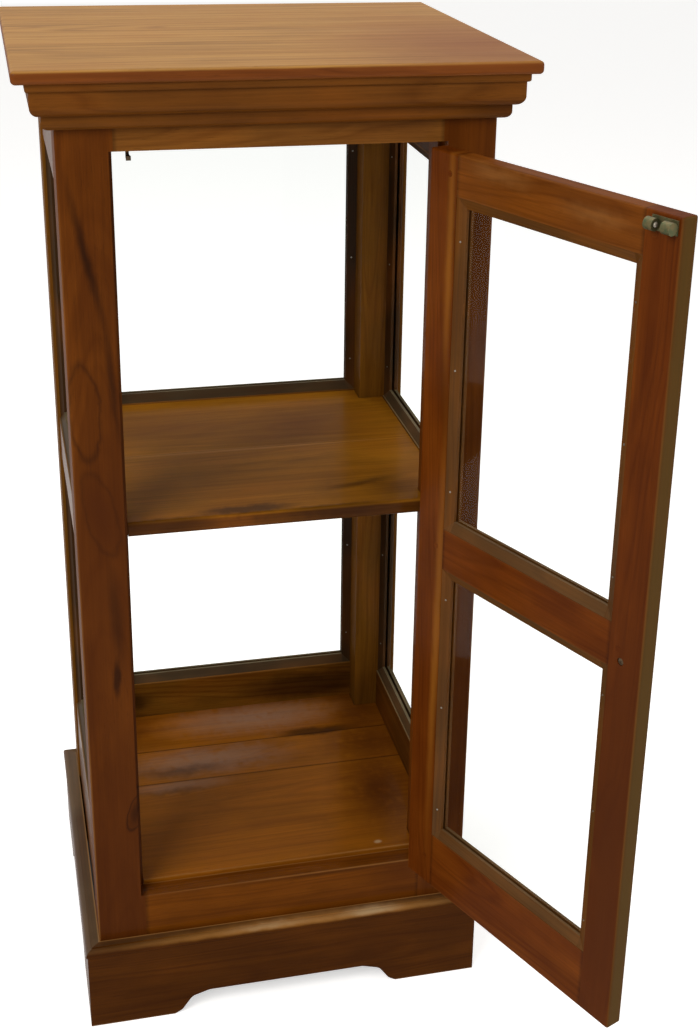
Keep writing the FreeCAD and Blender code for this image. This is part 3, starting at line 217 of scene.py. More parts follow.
def figure_group():
    """The figure of a sawn teak board, worked out from where the board lay in the log.

    X runs along the grain, in millimetres. The heart is the log's axis, which may lean out of the board, and
    the rings are shells round it: a leaning heart gives the arches of a flat-sawn face.
    """
    group = bpy.data.node_groups.new("teak figure", "ShaderNodeTree")
    plan = group.interface
    plan.new_socket("Vector", in_out="INPUT", socket_type="NodeSocketVector")
    for name in ("Heart Y", "Heart Z", "Lean Y", "Lean Z", "Ring", "Wander", "Seed", "Pore"):
        plan.new_socket(name, in_out="INPUT", socket_type="NodeSocketFloat")
    for name in ("Rings", "Streaks", "Fibres", "Clouds", "Pores"):
        plan.new_socket(name, in_out="OUTPUT", socket_type="NodeSocketFloat")
    start = group.nodes.new("NodeGroupInput").outputs
    end = group.nodes.new("NodeGroupOutput").inputs

    # Rings wander slowly along the grain and faster across it
    long_view = add_node(group, "Mapping", {"Vector": start["Vector"], "Scale": DRIFT_SCALE})
    values = {"Vector": long_view, "W": start["Seed"], "Scale": 1.0, "Detail": 2.0, "Roughness": 0.45}
    drift = add_node(group, "TexNoise", values, noise_dimensions="4D")
    split = add_node(group, "SeparateColor", {"Color": drift.outputs["Color"]})
    place = add_node(group, "SeparateXYZ", {"Vector": start["Vector"]})
    offsets = []
    for axis, channel in (("Y", "Red"), ("Z", "Green")):
        centred = add_node(group, "Math", {0: split.outputs[channel], 1: 0.5}, operation="SUBTRACT")
        shift = add_node(group, "Math", {0: centred, 1: start["Wander"]}, operation="MULTIPLY")
        across, heart, lean = place.outputs[axis], start["Heart " + axis], start["Lean " + axis]
        from_heart = add_node(group, "Math", {0: across, 1: heart}, operation="SUBTRACT")
        leaning = add_node(group, "Math", {0: place.outputs["X"], 1: lean}, operation="MULTIPLY")
        leant = add_node(group, "Math", {0: from_heart, 1: leaning}, operation="SUBTRACT")
        offsets.append(add_node(group, "Math", {0: leant, 1: shift}, operation="ADD"))
    shell = add_node(group, "CombineXYZ", {"Y": offsets[0], "Z": offsets[1]})
    radius = add_node(group, "VectorMath", {0: shell}, operation="LENGTH").outputs["Value"]
    # No two years are alike, so the rings' widths vary
    age = add_node(group, "Math", {0: radius, 1: YEAR_SCALE}, operation="MULTIPLY")
    years = add_node(group, "TexNoise", {"W": age, "Scale": 1.0, "Detail": 1.0}, noise_dimensions="1D")
    uneven = add_node(group, "Math", {0: years.outputs[0], 1: YEAR_SPREAD}, operation="MULTIPLY")
    count = add_node(group, "Math", {0: radius, 1: start["Ring"]}, operation="DIVIDE")
    turns = add_node(group, "Math", {0: count, 1: uneven}, operation="ADD")
    wave = add_node(group, "Math", {0: turns}, operation="FRACT")
    profile = add_node(group, "ValToRGB", {0: wave})
    ramp = profile.color_ramp
    ramp.interpolation = "EASE"
    ramp.elements[0].color, ramp.elements[1].color = (0.6, 0.6, 0.6, 1), (0.65, 0.65, 0.65, 1)
    for position, level in ((0.22, 0.08), (0.6, 0.25), (0.88, 1.0)):
        ramp.elements.new(position).color = (level, level, level, 1)
    group.links.new(profile.outputs["Color"], end["Rings"])

    # Broad streaks, fine fibres, and clouds of warmer and redder wood
    for name, scale, detail in (
        ("Streaks", STREAK_SCALE, 4.0),
        ("Fibres", FIBRE_SCALE, 4.0),
        ("Clouds", CLOUD_SCALE, 2.0),
    ):
        view = add_node(group, "Mapping", {"Vector": start["Vector"], "Scale": scale})
        values = {"Vector": view, "W": start["Seed"], "Scale": 1.0, "Detail": detail, "Roughness": 0.55}
        grain = add_node(group, "TexNoise", values, noise_dimensions="4D")
        group.links.new(grain.outputs[0], end[name])

    # Teak's pores are short dark dashes, thickest in the early wood
    view = add_node(group, "Mapping", {"Vector": start["Vector"], "Scale": PORE_STRETCH})
    fineness = add_node(group, "Math", {0: 1.0, 1: start["Pore"]}, operation="DIVIDE")
    dashes = add_node(group, "TexNoise", {"Vector": view, "Scale": fineness, "Detail": 1.0, "Roughness": 0.3})
    dash = add_node(group, "MapRange", {"Value": dashes.outputs[0], "From Min": 0.6, "From Max": 0.72})
    early = add_node(group, "Math", {0: 1.0, 1: wave}, operation="SUBTRACT")
    thick = add_node(group, "Math", {0: dash, 1: early}, operation="MULTIPLY")
    group.links.new(thick.outputs[0], end["Pores"])


# How a board's grain lies: up the cabinet, across it, or from front to back
GRAIN = {
    "up": Matrix(((0, 0, 1), (1, 0, 0), (0, 1, 0))),
    "across": Matrix(((1, 0, 0), (0, 1, 0), (0, 0, 1))),
    "back": Matrix(((0, 1, 0), (0, 0, 1), (1, 0, 0))),
}


def is_on_door(node):
    return node.startswith("door_") or node == "pull_screw"


def board_box(node):
    """Middle and half size of a node, a door's board as it stands on the shut door."""
    turn = SWING.inverted() if is_on_door(node) else Matrix()
    places = [turn @ vertex.co for vertex in frame["nodes"][node].data.vertices]
    low = Vector([min(axis) for axis in zip(*places)])
    high = Vector([max(axis) for axis in zip(*places)])
    return (low + high) / 2, (high - low) / 2


def board_space(tree, grain, middle, on_door):
    """Places in millimetres from a board's middle, with X along its grain."""
    turn = GRAIN[grain]
    if on_door:
        turn = turn @ Matrix.Rotation(-DOOR_OPEN, 3, "Z")
        middle = SWING @ middle
    place = add_node(tree, "TexCoord").outputs["Object"]
    shift = turn @ (middle / MM)
    values = {"Vector": place, "Location": -shift, "Rotation": turn.to_euler("XYZ"), "Scale": (1 / MM,) * 3}
    return add_node(tree, "Mapping", values)


def arris_share(tree, space, half, side, reach):
    """1 on a board's long arrises, 0 beyond their worn and highlit band. A side of 1 or -1 keeps one pair, and
    0 both.
    """
    split = add_node(tree, "SeparateXYZ", {0: space})
    if side:
        across = add_node(tree, "Math", {0: split.outputs["Y"], 1: side}, operation="MULTIPLY")
    else:
        across = add_node(tree, "Math", {0: split.outputs["Y"]}, operation="ABSOLUTE")
    upward = add_node(tree, "Math", {0: split.outputs["Z"]}, operation="ABSOLUTE")
    from_side = add_node(tree, "Math", {0: half.y, 1: across}, operation="SUBTRACT")
    from_face = add_node(tree, "Math", {0: half.z, 1: upward}, operation="SUBTRACT")
    far = add_node(tree, "Math", {0: from_side, 1: from_face}, operation="MAXIMUM")
    values = {"Value": far, "From Min": reach, "From Max": 0.0}
    return add_node(tree, "MapRange", values, interpolation_type="SMOOTHSTEP")


def end_share(tree, space, reach, depth):
    """1 where a rail meets its posts, reach from its middle, fading over depth."""
    split = add_node(tree, "SeparateXYZ", {0: space})
    out = add_node(tree, "Math", {0: split.outputs["X"]}, operation="ABSOLUTE")
    values = {"Value": out, "From Min": reach - depth, "From Max": reach}
    return add_node(tree, "MapRange", values, interpolation_type="SMOOTHSTEP")


def mark_share(tree, mark, seed, on_door):
    """How much of a mark shows: 1 inside it, 0 past its ragged edge. An arch shows only its rim."""
    place = add_node(tree, "TexCoord").outputs["Object"]
    values = {"Vector": place, "Scale": RAGGED_SCALE, "Detail": 3.0, "W": seed}
    ragged = add_node(tree, "TexNoise", values, noise_dimensions="4D")
    values = {0: ragged.outputs["Color"], 1: (-0.5, -0.5, -0.5)}
    centred = add_node(tree, "VectorMath", values, operation="ADD")
    small = add_node(tree, "VectorMath", {0: centred, "Scale": mark.ragged * MM}, operation="SCALE")
    moved = add_node(tree, "VectorMath", {0: place, 1: small}, operation="ADD")
    middle = MIDDLE + Vector(mark.place) * MM
    turn = mark.turn
    if on_door:
        middle = SWING @ middle
        turn += DOOR_OPEN
    size = Vector(mark.reach) * MM
    values = {"Vector": moved, "Location": middle, "Rotation": (0, mark.lean, turn), "Scale": size}
    inside = add_node(tree, "Mapping", values, vector_type="TEXTURE")
    ball = add_node(tree, "TexGradient", {"Vector": inside}, gradient_type="SPHERICAL").outputs["Fac"]
    if mark.arch:
        rim = add_node(tree, "Math", {0: ball, 1: RIM_PLACE}, operation="SUBTRACT")
        off_rim = add_node(tree, "Math", {0: rim}, operation="ABSOLUTE")
        values = {"Value": off_rim, "From Min": RIM_WIDTH, "From Max": 0.0, "To Max": RIM_LEVEL}
        ball = add_node(tree, "MapRange", values)
    values = {"Value": ball, "From Max": mark.soft}
    return add_node(tree, "MapRange", values, interpolation_type="SMOOTHSTEP")


def corner_share(tree, middle, halves, on_door):
    """1 on the pieces that run the other way: past a ring's mitres, or near an opening's sides."""
    place = add_node(tree, "TexCoord").outputs["Object"]
    turn = Matrix.Rotation(-DOOR_OPEN if on_door else 0.0, 3, "Z")
    if on_door:
        middle = SWING @ middle
    values = {"Vector": place, "Rotation": turn.to_euler("XYZ"), "Location": -(turn @ middle)}
    split = add_node(tree, "SeparateXYZ", {0: add_node(tree, "Mapping", values)})
    beyond = []
    for axis, half in halves.items():
        out = add_node(tree, "Math", {0: split.outputs[axis]}, operation="ABSOLUTE")
        beyond.append(add_node(tree, "Math", {0: out, 1: half}, operation="SUBTRACT"))
    along, limit = (beyond + [0.0])[:2]
    return add_node(tree, "Math", {0: along, 1: limit}, operation="GREATER_THAN")


def teak(node, board, corner=None):
    """Sawn teak, stained and hand varnished.

    It gives the eye a warm brown ground with fine darker fibres, soft rings, clouds of honey and red-brown,
    short pores, arrises where the stain has rubbed thin with a painted highlight along them, painted shade on
    some boards' upright edges, and a coat that shines mostly at a flat angle.
    """
    colours = bpy.context.scene.cabinet_colours
    sizes = bpy.context.scene.cabinet_sizes
    material, tree = new_material("teak " + node.replace("_", " "))
    on_door = is_on_door(node)
    middle, half = board_box(node)
    space = board_space(tree, board.grain, middle, on_door)
    if corner:
        # Mitred pieces in one node: each side's grain runs along that side
        grain, ring_middle, halves = corner
        other = board_space(tree, grain, middle, on_door)
        share = corner_share(tree, ring_middle, halves, on_door)
        space = add_node(tree, "Mix", {"Factor": share, "A": space, "B": other}, data_type="VECTOR")
    values = {
        "Vector": space,
        "Ring": sizes.ring / MM * board.ring,
        "Wander": RING_WANDER,
        "Seed": board.seed,
        "Pore": sizes.pore / MM,
    }
    for axis, heart, lean in zip("YZ", board.heart, board.lean):
        values["Heart " + axis], values["Lean " + axis] = heart, lean
    figure = add_node(tree, "Group", values, node_tree=bpy.data.node_groups["teak figure"])
    clouds, streaks, fibres = [figure.outputs[name] for name in ("Clouds", "Streaks", "Fibres")]
    wood = getattr(colours, board.tone)
    if board.upright_shade_tone:
        # Painted shade: the upright edges are darker than the level face
        upright = add_node(tree, "SeparateXYZ", {0: add_node(tree, "TexCoord").outputs["Normal"]})
        values = {"Value": upright.outputs["Z"], "From Min": FACE_TILT, "From Max": EDGE_TILT}
        share, edge = add_node(tree, "MapRange", values), getattr(colours, board.upright_shade_tone)
        wood = add_node(tree, "Mix", {"Factor": share, "A": wood, "B": edge}, data_type="RGBA")
    # Clouds first, then rings, streaks and fibres over them
    for tint, low, high in ((colours.honey, 0.48, 0.72), (colours.russet_and_shade, 0.5, 0.28)):
        values = {"Value": clouds, "From Min": low, "From Max": high, "To Max": board.clouds}
        share = add_node(tree, "MapRange", values)
        wood = add_node(tree, "Mix", {"Factor": share, "A": wood, "B": tint}, data_type="RGBA")
    rings = add_node(tree, "Math", {0: figure.outputs["Rings"], 1: board.contrast}, operation="MULTIPLY")
    values = {"Value": streaks, "From Min": 0.4, "From Max": 0.75, "To Max": STREAK_STRENGTH}
    for share in (rings, add_node(tree, "MapRange", values)):
        values = {"Factor": share, "A": wood, "B": colours.late_wood}
        wood = add_node(tree, "Mix", values, data_type="RGBA", blend_type="MULTIPLY")
    low, high = FIBRE_LEVELS
    values = {"Value": fibres, "From Min": 0.3, "From Max": 0.7, "To Min": low, "To Max": high}
    light = add_node(tree, "MapRange", values)
    wood = add_node(tree, "VectorMath", {0: wood, "Scale": light}, operation="SCALE")
    # Then what lies over the figure, in order: where it shows, how strongly, and its colour
    layers = [(figure.outputs["Pores"], PORE_STRENGTH, colours.stain)]
    for index, mark in enumerate(board.marks):
        share = mark_share(tree, mark, board.seed + index, on_door)
        layers.append((share, mark.strength, getattr(colours, mark.paint)))
    if not corner:
        size = Vector([abs(value) for value in GRAIN[board.grain] @ (half / MM)])
        # Worn arrises, patchy along the streaks, with a painted highlight along them
        arris = arris_share(tree, space, size, board.arris_side, sizes.arris / MM)
        rubbed = add_node(tree, "MapRange", {"Value": streaks, "From Min": 0.35, "From Max": 0.6})
        worn_and_highlight = add_node(tree, "Math", {0: arris, 1: rubbed}, operation="MULTIPLY")
        layers.append((worn_and_highlight, board.wear_and_highlight, colours.worn_and_highlight))
        if board.seam_side is not None:
            seam = arris_share(tree, space, size, board.seam_side, SEAM_WIDTH)
            layers.append((seam, board.seam, colours.stain))
        if board.shoulder:
            joint = end_share(tree, space, board.shoulder, SHOULDER_WIDTH)
            layers.append((joint, SHOULDER_GRIME, colours.stain))
    if board.grime:
        # Old polish and dust have dulled it all over, in patches
        dulled = add_node(tree, "MapRange", {"Value": streaks, "From Min": 0.35, "From Max": 0.65})
        layers.append((dulled, board.grime, colours.dust))
    if board.dust:
        # Dust lies on the ledges, in patches
        facing = add_node(tree, "SeparateXYZ", {0: add_node(tree, "TexCoord").outputs["Normal"]})
        level = add_node(tree, "MapRange", {"Value": facing.outputs["Z"], "From Min": 0.25, "From Max": 0.8})
        values = {"Value": clouds, "From Min": 0.35, "From Max": 0.6, "To Min": 0.5}
        patches = add_node(tree, "MapRange", values)
        ledges = add_node(tree, "Math", {0: level, 1: patches}, operation="MULTIPLY")
        layers.append((ledges, board.dust, colours.dust))
    for share, strength, tint in layers:
        part = add_node(tree, "Math", {0: share, 1: strength}, operation="MULTIPLY")
        wood = add_node(tree, "Mix", {"Factor": part, "A": wood, "B": tint}, data_type="RGBA")
    # The varnish has filled most of the grain: what is left is a faint relief and a slow ripple
    relief = add_node(tree, "Bump", {"Height": fibres, "Strength": 0.2, "Distance": 0.0003})
    object_place = add_node(tree, "TexCoord").outputs["Object"]
    ripple = add_node(tree, "TexNoise", {"Vector": object_place, "Scale": 30.0, "Detail": 1.0})
    coat = add_node(tree, "Bump", {"Height": ripple, "Strength": 0.12, "Distance": 0.002})
    dull = add_node(tree, "MapRange", {"Value": streaks, "To Min": 0.45, "To Max": 0.65})
    values = {
        "Base Color": wood,
        "Roughness": dull,
        "IOR": VARNISH_IOR,
        "Specular IOR Level": BARE_SHEEN,
        "Coat Weight": board.gloss,
        "Coat Roughness": sizes.varnish_gloss,
        "Coat IOR": VARNISH_IOR,
        "Normal": relief,
        "Coat Normal": coat,
    }
    shader = add_node(tree, "BsdfPrincipled", values)
    add_node(tree, "OutputMaterial", {"Surface": shader})
    return material


def float_glass():
    """Float glass in thin panes.

    It gives the eye a clear view with hardly any colour, and a faint sharp mirror that grows at a flat angle.
    The mirror is kept well under a real pane's, because the studio round it is white.
    """
    colours = bpy.context.scene.cabinet_colours
    material, tree = new_material("float glass")
    values = {"Base Color": colours.glass, "Roughness": 0.0, "IOR": 1.0, "Transmission Weight": 1.0}
    clear = add_node(tree, "BsdfPrincipled", values)
    mirror = add_node(tree, "BsdfGlossy", {"Color": (1, 1, 1), "Roughness": 0.02})
    flat = add_node(tree, "LayerWeight", {"Blend": 0.5}).outputs["Facing"]
    steep = add_node(tree, "Math", {0: flat, 1: 3.0}, operation="POWER")
    share = add_node(tree, "MapRange", {"Value": steep, "To Min": MIRROR_FACING, "To Max": MIRROR_FLAT})
    pane = add_node(tree, "MixShader", {0: share, 1: clear, 2: mirror})
    # Light goes straight through, so a pane throws no shadow
    open_air = add_node(tree, "BsdfTransparent", {"Color": (0.985, 0.99, 0.985)})
    path = add_node(tree, "LightPath")
    values = {0: path.outputs["Is Shadow Ray"], 1: path.outputs["Is Diffuse Ray"]}
    unseen = add_node(tree, "Math", values, operation="MAXIMUM")
    both = add_node(tree, "MixShader", {0: unseen, 1: pane, 2: open_air})
    add_node(tree, "OutputMaterial", {"Surface": both})
    return material


def old_metal(name, base, bloom, share_most, roughness):
    """Cast, turned or drawn metal gone dull.

    It gives the eye its own colour broken by blotches of bloom, and a soft uneven shine from fine scratches.
    """
    colours = bpy.context.scene.cabinet_colours
    material, tree = new_material(name)
    place = add_node(tree, "TexCoord").outputs["Object"]
    # Blotches of about 4 mm, and scratches of 1 mm, coarser than real ones so that they show
    blotches = add_node(tree, "TexNoise", {"Vector": place, "Scale": 240.0, "Detail": 4.0})
    values = {"Value": blotches, "From Min": 0.38, "From Max": 0.66, "To Max": share_most}
    share = add_node(tree, "MapRange", values)
    values = {"Factor": share, "A": getattr(colours, base), "B": getattr(colours, bloom)}
    metal = add_node(tree, "Mix", values, data_type="RGBA")
    scratches = add_node(tree, "TexNoise", {"Vector": place, "Scale": 900.0, "Detail": 2.0})
    rough_most = roughness + SCRATCH_SPREAD
    dull = add_node(tree, "MapRange", {"Value": scratches, "To Min": roughness, "To Max": rough_most})
    relief = add_node(tree, "Bump", {"Height": scratches, "Strength": 0.15, "Distance": 0.0002})
    values = {"Base Color": metal, "Metallic": 1.0, "Roughness": dull, "Normal": relief}
    shader = add_node(tree, "BsdfPrincipled", values)
    add_node(tree, "OutputMaterial", {"Surface": shader})
    return material


@dataclass
class Board:
    """A piece of teak: its tone, how it was cut from the log, what age has done to it, and painted shade and
    highlights.
    """

    tone: str
    grain: str
    # The log's heart from the board's middle in millimetres, and its lean for each one along the grain
    heart: tuple
    lean: tuple
    # Times the common ring width, and how strongly rings and clouds show
    ring: float = 1.0
    contrast: float = 0.28
    clouds: float = 0.3
    # The varnish coat's weight
    gloss: float = 0.05
    # Worn long arrises with a painted highlight along them, on one side, 1 or -1, or on both, 0
    wear_and_highlight: float = 0.35
    arris_side: int = 0
    # A dark joint along one side or both
    seam_side: int | None = None
    seam: float = 0.6
    # Millimetres from the board's middle to the joints at its ends
    shoulder: float | None = None
    # A colour of painted shade on the upright edges
    upright_shade_tone: str | None = None
    # Dulling all over, and dust on ledges
    grime: float = 0.0
    dust: float = 0.0
    seed: float = 0.0
    marks: tuple = ()


@dataclass
class Mark:
    """A mark on one board: an oval of paint, or only its rim if it is an arch. Lengths are in millimetres."""

    paint: str
    place: tuple
    reach: tuple
    strength: float
    # Radians that it leans on an upright face, or turns on a level one
    lean: float = 0.0
    turn: float = 0.0
    # How far its edge strays, and the share of its reach over which it fades
    ragged: float = 4.0
    soft: float = 1.0
    arch: bool = False


# The shelf's and the floor's boards have a heavier coat and fainter rings
LEVEL = {"gloss": 0.08, "contrast": 0.2}
# The teak of each board. Its seed follows from its place in this table
BOARDS = {
    "top_board": Board(
        "top", "across", (40, -70), (0.02, 0.03), wear_and_highlight=0.7, upright_shade_tone="top_edge_shade", clouds=0.18, contrast=0.35,
        gloss=0.12,
    ),
    "front_top_rail": Board("front_rails", "across", (60, 10), (0.03, 0.02), shoulder=150, wear_and_highlight=0.1),
    "front_bottom_rail": Board("sill", "across", (70, -20), (0.02, 0.03), shoulder=150, wear_and_highlight=0.6),
    "left_top_rail": Board("wall_rails", "back", (-20, 60), (0.03, 0.02), dust=0.3, gloss=0.3),
    "left_mid_rail": Board("wall_rails", "back", (10, 50), (0.02, 0.03), dust=0.3, gloss=0.3),
    "left_bottom_rail": Board("wall_rails", "back", (-40, 60), (0.02, -0.03), dust=0.3, gloss=0.3),
    "right_top_rail": Board("wall_rails", "back", (20, -60), (0.03, 0.02), dust=0.4),
    "right_mid_rail": Board("wall_rails", "back", (10, -50), (0.02, 0.03), dust=0.6),
    "right_bottom_rail": Board("wall_rails", "back", (-40, -70), (0.03, 0.02), dust=0.6),
    "back_top_rail": Board("wall_rails", "across", (70, 20), (0.02, 0.04)),
    "back_mid_rail": Board("wall_rails", "across", (60, -10), (0.03, 0.01)),
    "back_bottom_rail": Board("back_post", "across", (60, 10), (0.02, -0.05), contrast=0.4, ring=0.8),
    "shelf_front_board": Board(
        "shelf", "across", (30, -60), (0.03, 0.02), arris_side=-1, wear_and_highlight=0.15, upright_shade_tone="wall_rails",
        seam_side=1, seam=0.2, **LEVEL,
    ),
    "shelf_back_board": Board(
        "shelf", "across", (-30, -70), (0.02, 0.03), seam_side=-1, seam=0.2, wear_and_highlight=0.0, **LEVEL,
    ),
    "floor_front_board": Board(
        "floor_boards", "across", (30, -50), (0.04, 0.03), arris_side=-1, wear_and_highlight=0.9, seam_side=1, **LEVEL,
    ),
    "floor_middle_board": Board(
        "floor_boards", "across", (-10, -60), (0.03, 0.04), seam_side=0, wear_and_highlight=0.0, **LEVEL,
    ),
    "floor_back_board": Board(
        "floor_boards", "across", (40, -50), (0.02, 0.03), seam_side=-1, wear_and_highlight=0.0, **LEVEL,
    ),
    "shelf_cleats": Board("wall_rails", "back", (30, 40), (0.02, 0.02)),
    "floor_cleats": Board("wall_rails", "back", (30, 40), (0.02, 0.02)),
    "post_front_left": Board(
        "post", "up", (4, 30), (0.0, 0.06), ring=1.5, arris_side=-1, wear_and_highlight=0.4, contrast=0.2,
    ),
    "post_front_right": Board("post", "up", (-30, 40), (0.02, 0.03), arris_side=1, wear_and_highlight=0.3),
    "post_back_left": Board("back_post", "up", (20, -40), (0.03, 0.02), arris_side=-1, wear_and_highlight=0.3),
    "post_back_right": Board("back_post", "up", (-20, -40), (0.02, 0.03), arris_side=1, wear_and_highlight=0.3),
    "plinth_front": Board("plinth", "across", (50, -10), (0.02, 0.03), dust=0.08, wear_and_highlight=0.9, clouds=0.14),
    "plinth_back": Board("plinth", "across", (-50, 10), (0.03, 0.02), dust=0.3, clouds=0.14),
    "plinth_left": Board(
        "plinth", "back", (10, 50), (0.02, 0.03), dust=0.25, gloss=0.3, wear_and_highlight=0.8, clouds=0.14,
    ),
    "plinth_right": Board("plinth", "back", (10, -50), (0.03, 0.02), dust=0.3, clouds=0.14),
    "door_hinge_stile": Board("door", "up", (-25, -45), (0.01, 0.03), arris_side=1, wear_and_highlight=0.2),
    "door_lock_stile": Board("door", "up", (15, -50), (0.02, 0.04), arris_side=-1, wear_and_highlight=0.15),
    "door_top_rail": Board("door_top", "across", (-45, 20), (0.04, 0.03), shoulder=114, wear_and_highlight=0.12),
    "door_mid_rail": Board("door", "across", (-50, 10), (0.03, 0.04), shoulder=114, wear_and_highlight=0.12),
    "door_bottom_rail": Board("door", "across", (-60, 20), (0.03, 0.03), shoulder=114, wear_and_highlight=0.12),
}

# The teak of mitred pieces and of the pegs
MOULDING = Board("cornice", "across", (60, 20), (0.02, 0.03), contrast=0.3)
WALL_BEAD = Board("wall_beads", "back", (40, 40), (0.02, 0.03), contrast=0.25, dust=0.5, grime=0.06)
BEADS = {
    "left_beads": WALL_BEAD,
    "right_beads": WALL_BEAD,
    "back_beads": replace(WALL_BEAD, grain="across"),
    "door_beads": replace(WALL_BEAD, tone="beads", grain="across", dust=0.22, grime=0.08),
}
PEG = Board("door", "across", (3, 3), (0.0, 0.0), ring=0.3, wear_and_highlight=0.0, seed=39.5)

# Marks that show on single boards, placed from the carcass's middle on the ground with the door shut
MARKS = {
    "top_board": (
        # Painted shade over the right end of the top
        Mark("top_edge_shade", (205, -110, 1020), (210, 300, 60), 0.75, ragged=40),
    ),
    "post_front_left": (
        # Painted shade: the post darkens towards the bottom, where less light falls
        Mark("russet_and_shade", (-175, -182, 180), (80, 80, 330), 0.55, ragged=10),
        Mark("russet_and_shade", (-175, -182, 520), (80, 80, 210), 0.7, ragged=10),
        Mark("stain", (-178, -182, 850), (7, 40, 98), 0.8, lean=-0.2),
        Mark("stain", (-160, -182, 730), (6, 40, 90), 0.6, lean=-0.07),
        Mark("stain", (-186, -182, 702), (17, 40, 58), 0.5, arch=True, ragged=9, soft=0.7, lean=-0.05),
        Mark("russet_and_shade", (-176, -182, 598), (19, 40, 60), 0.85, ragged=7, soft=0.9, lean=-0.21),
        Mark("stain", (-176, -182, 598), (17, 40, 54), 0.28, arch=True, ragged=9, soft=0.7, lean=-0.21),
        Mark("stain", (-166, -182, 484), (10, 40, 84), 0.45, soft=0.9, lean=-0.05),
        Mark("stain", (-168, -182, 418), (5.5, 40, 30), 0.75, soft=0.7, lean=0.05),
        Mark("stain", (-155, -182, 258), (10, 40, 28), 0.6, soft=0.9, lean=0.3),
        Mark("stain", (-155, -182, 258), (10, 40, 28), 0.7, arch=True, soft=0.7, lean=0.3),
    ),
    "floor_back_board": (
        # A painted reflection of the room in the varnish, with some bloom
        Mark("reflection_and_bloom", (20, 128, 156), (150, 50, 12), 0.5, ragged=30),
        # Painted shade at the back and the right of the floor
        Mark("russet_and_shade", (-150, 130, 156), (90, 60, 12), 0.8, ragged=20),
        Mark("russet_and_shade", (150, 110, 156), (60, 90, 12), 0.7, ragged=20),
        Mark("stain", (87, 82, 156), (64, 15, 14), 0.75, ragged=12, soft=0.7),
    ),
    "floor_middle_board": (
        # A painted reflection of the room in the varnish, with some bloom
        Mark("reflection_and_bloom", (-50, 48, 156), (130, 44, 12), 0.5, ragged=30),
        # Painted shade at the right of the floor
        Mark("russet_and_shade", (150, 45, 156), (90, 90, 12), 0.8, ragged=20),
        Mark("stain", (87, 80, 156), (52, 9, 14), 0.7, ragged=9, soft=0.7),
        Mark("stain", (-85, 31, 156), (80, 14, 12), 0.5, ragged=24),
    ),
    "floor_front_board": (
        # A painted reflection of the room in the varnish, with some bloom
        Mark("reflection_and_bloom", (-90, 2, 156), (90, 20, 12), 0.4, ragged=20),
        Mark("stain", (-100, -8, 156), (70, 10, 12), 0.45, ragged=24),
        # Painted shade at the right of the floor
        Mark("russet_and_shade", (140, -50, 156), (75, 150, 12), 0.9, ragged=20),
        # A painted highlight on the floor's front edge
        Mark("painted_highlight", (112, -150, 156), (6, 4, 6), 0.6, ragged=3, soft=0.7),
    ),
    "shelf_front_board": (
        Mark("stain", (-30, -148, 575), (70, 14, 20), 0.7, ragged=20, soft=0.7),
        Mark("stain", (-110, -160, 575), (70, 9, 20), 0.6, ragged=9, soft=0.7),
        Mark("stain", (60, -158, 575), (80, 7, 20), 0.5, ragged=9, soft=0.7),
        Mark("stain", (98, -107, 575), (70, 11, 20), 0.6, ragged=8, turn=0.27),
        Mark("stain", (130, -125, 575), (50, 40, 20), 0.5, ragged=14),
        Mark("worn_and_highlight", (-30, 4, 575), (230, 5, 20), 0.5, ragged=1),
    ),
    "shelf_back_board": (
        Mark("worn_and_highlight", (-30, 7, 575), (230, 4, 20), 0.4, ragged=1),
        Mark("russet_and_shade", (70, 60, 575), (130, 90, 20), 0.5, ragged=10),
        Mark("russet_and_shade", (-90, 90, 575), (130, 90, 20), 0.4, ragged=10),
    ),
    "back_bottom_rail": (
        Mark("stain", (-140, 160, 178), (50, 20, 16), 0.7, ragged=14, soft=0.7),
        Mark("stain", (90, 160, 176), (110, 20, 26), 0.7, ragged=16, soft=0.7),
    ),
    "front_bottom_rail": (
        Mark("stain", (60, -182, 148), (120, 20, 4), 0.5, ragged=3),
        Mark("russet_and_shade", (135, -182, 135), (50, 20, 40), 0.6, ragged=10),
    ),
    "plinth_front": (
        # Painted highlight along the plinth's nose: a pale line, a worn band and glints
        Mark("sapwood_and_highlight", (0, -200, 98), (260, 26, 5), 0.4, ragged=3, soft=0.7),
        Mark("worn_and_highlight", (40, -194, 98.5), (230, 14, 5), 0.75),
        Mark("painted_highlight", (95, -194, 98.5), (46, 14, 4), 0.75, ragged=5),
        Mark("painted_highlight", (-20, -194, 98.5), (60, 10, 4), 0.35, ragged=8),
    ),
    "door_top_rail": (
        # Lighter patches of worn varnish, with a painted sheen
        Mark("worn_and_highlight", (60, -164, 935), (60, 30, 12), 0.22, ragged=14),
        Mark("worn_and_highlight", (-60, -164, 925), (60, 30, 12), 0.2, ragged=14),
    ),
    "door_hinge_stile": (
        # A lighter streak down the hinge stile: painted highlight, partly sapwood
        Mark("sapwood_and_highlight", (121, -164, 850), (8, 30, 190), 0.42, ragged=3),
        Mark("russet_and_shade", (124, -164, 715), (14, 30, 60), 0.5, ragged=8),
        Mark("sapwood_and_highlight", (119, -164, 460), (9, 30, 330), 0.42, ragged=3, lean=-0.012),
    ),
    "door_lock_stile": (
        # Darker towards the bottom of the lock stile
        Mark("russet_and_shade", (-135, -164, 330), (60, 50, 420), 0.85, ragged=12),
        Mark("olive", (-154, -173, 548), (4.5, 16, 1500), 0.75, ragged=0.8, soft=0.5),
    ),
}


def paint(nodes, material):
    for node in nodes:
        for slot in frame["nodes"][node].material_slots:
            slot.material = material


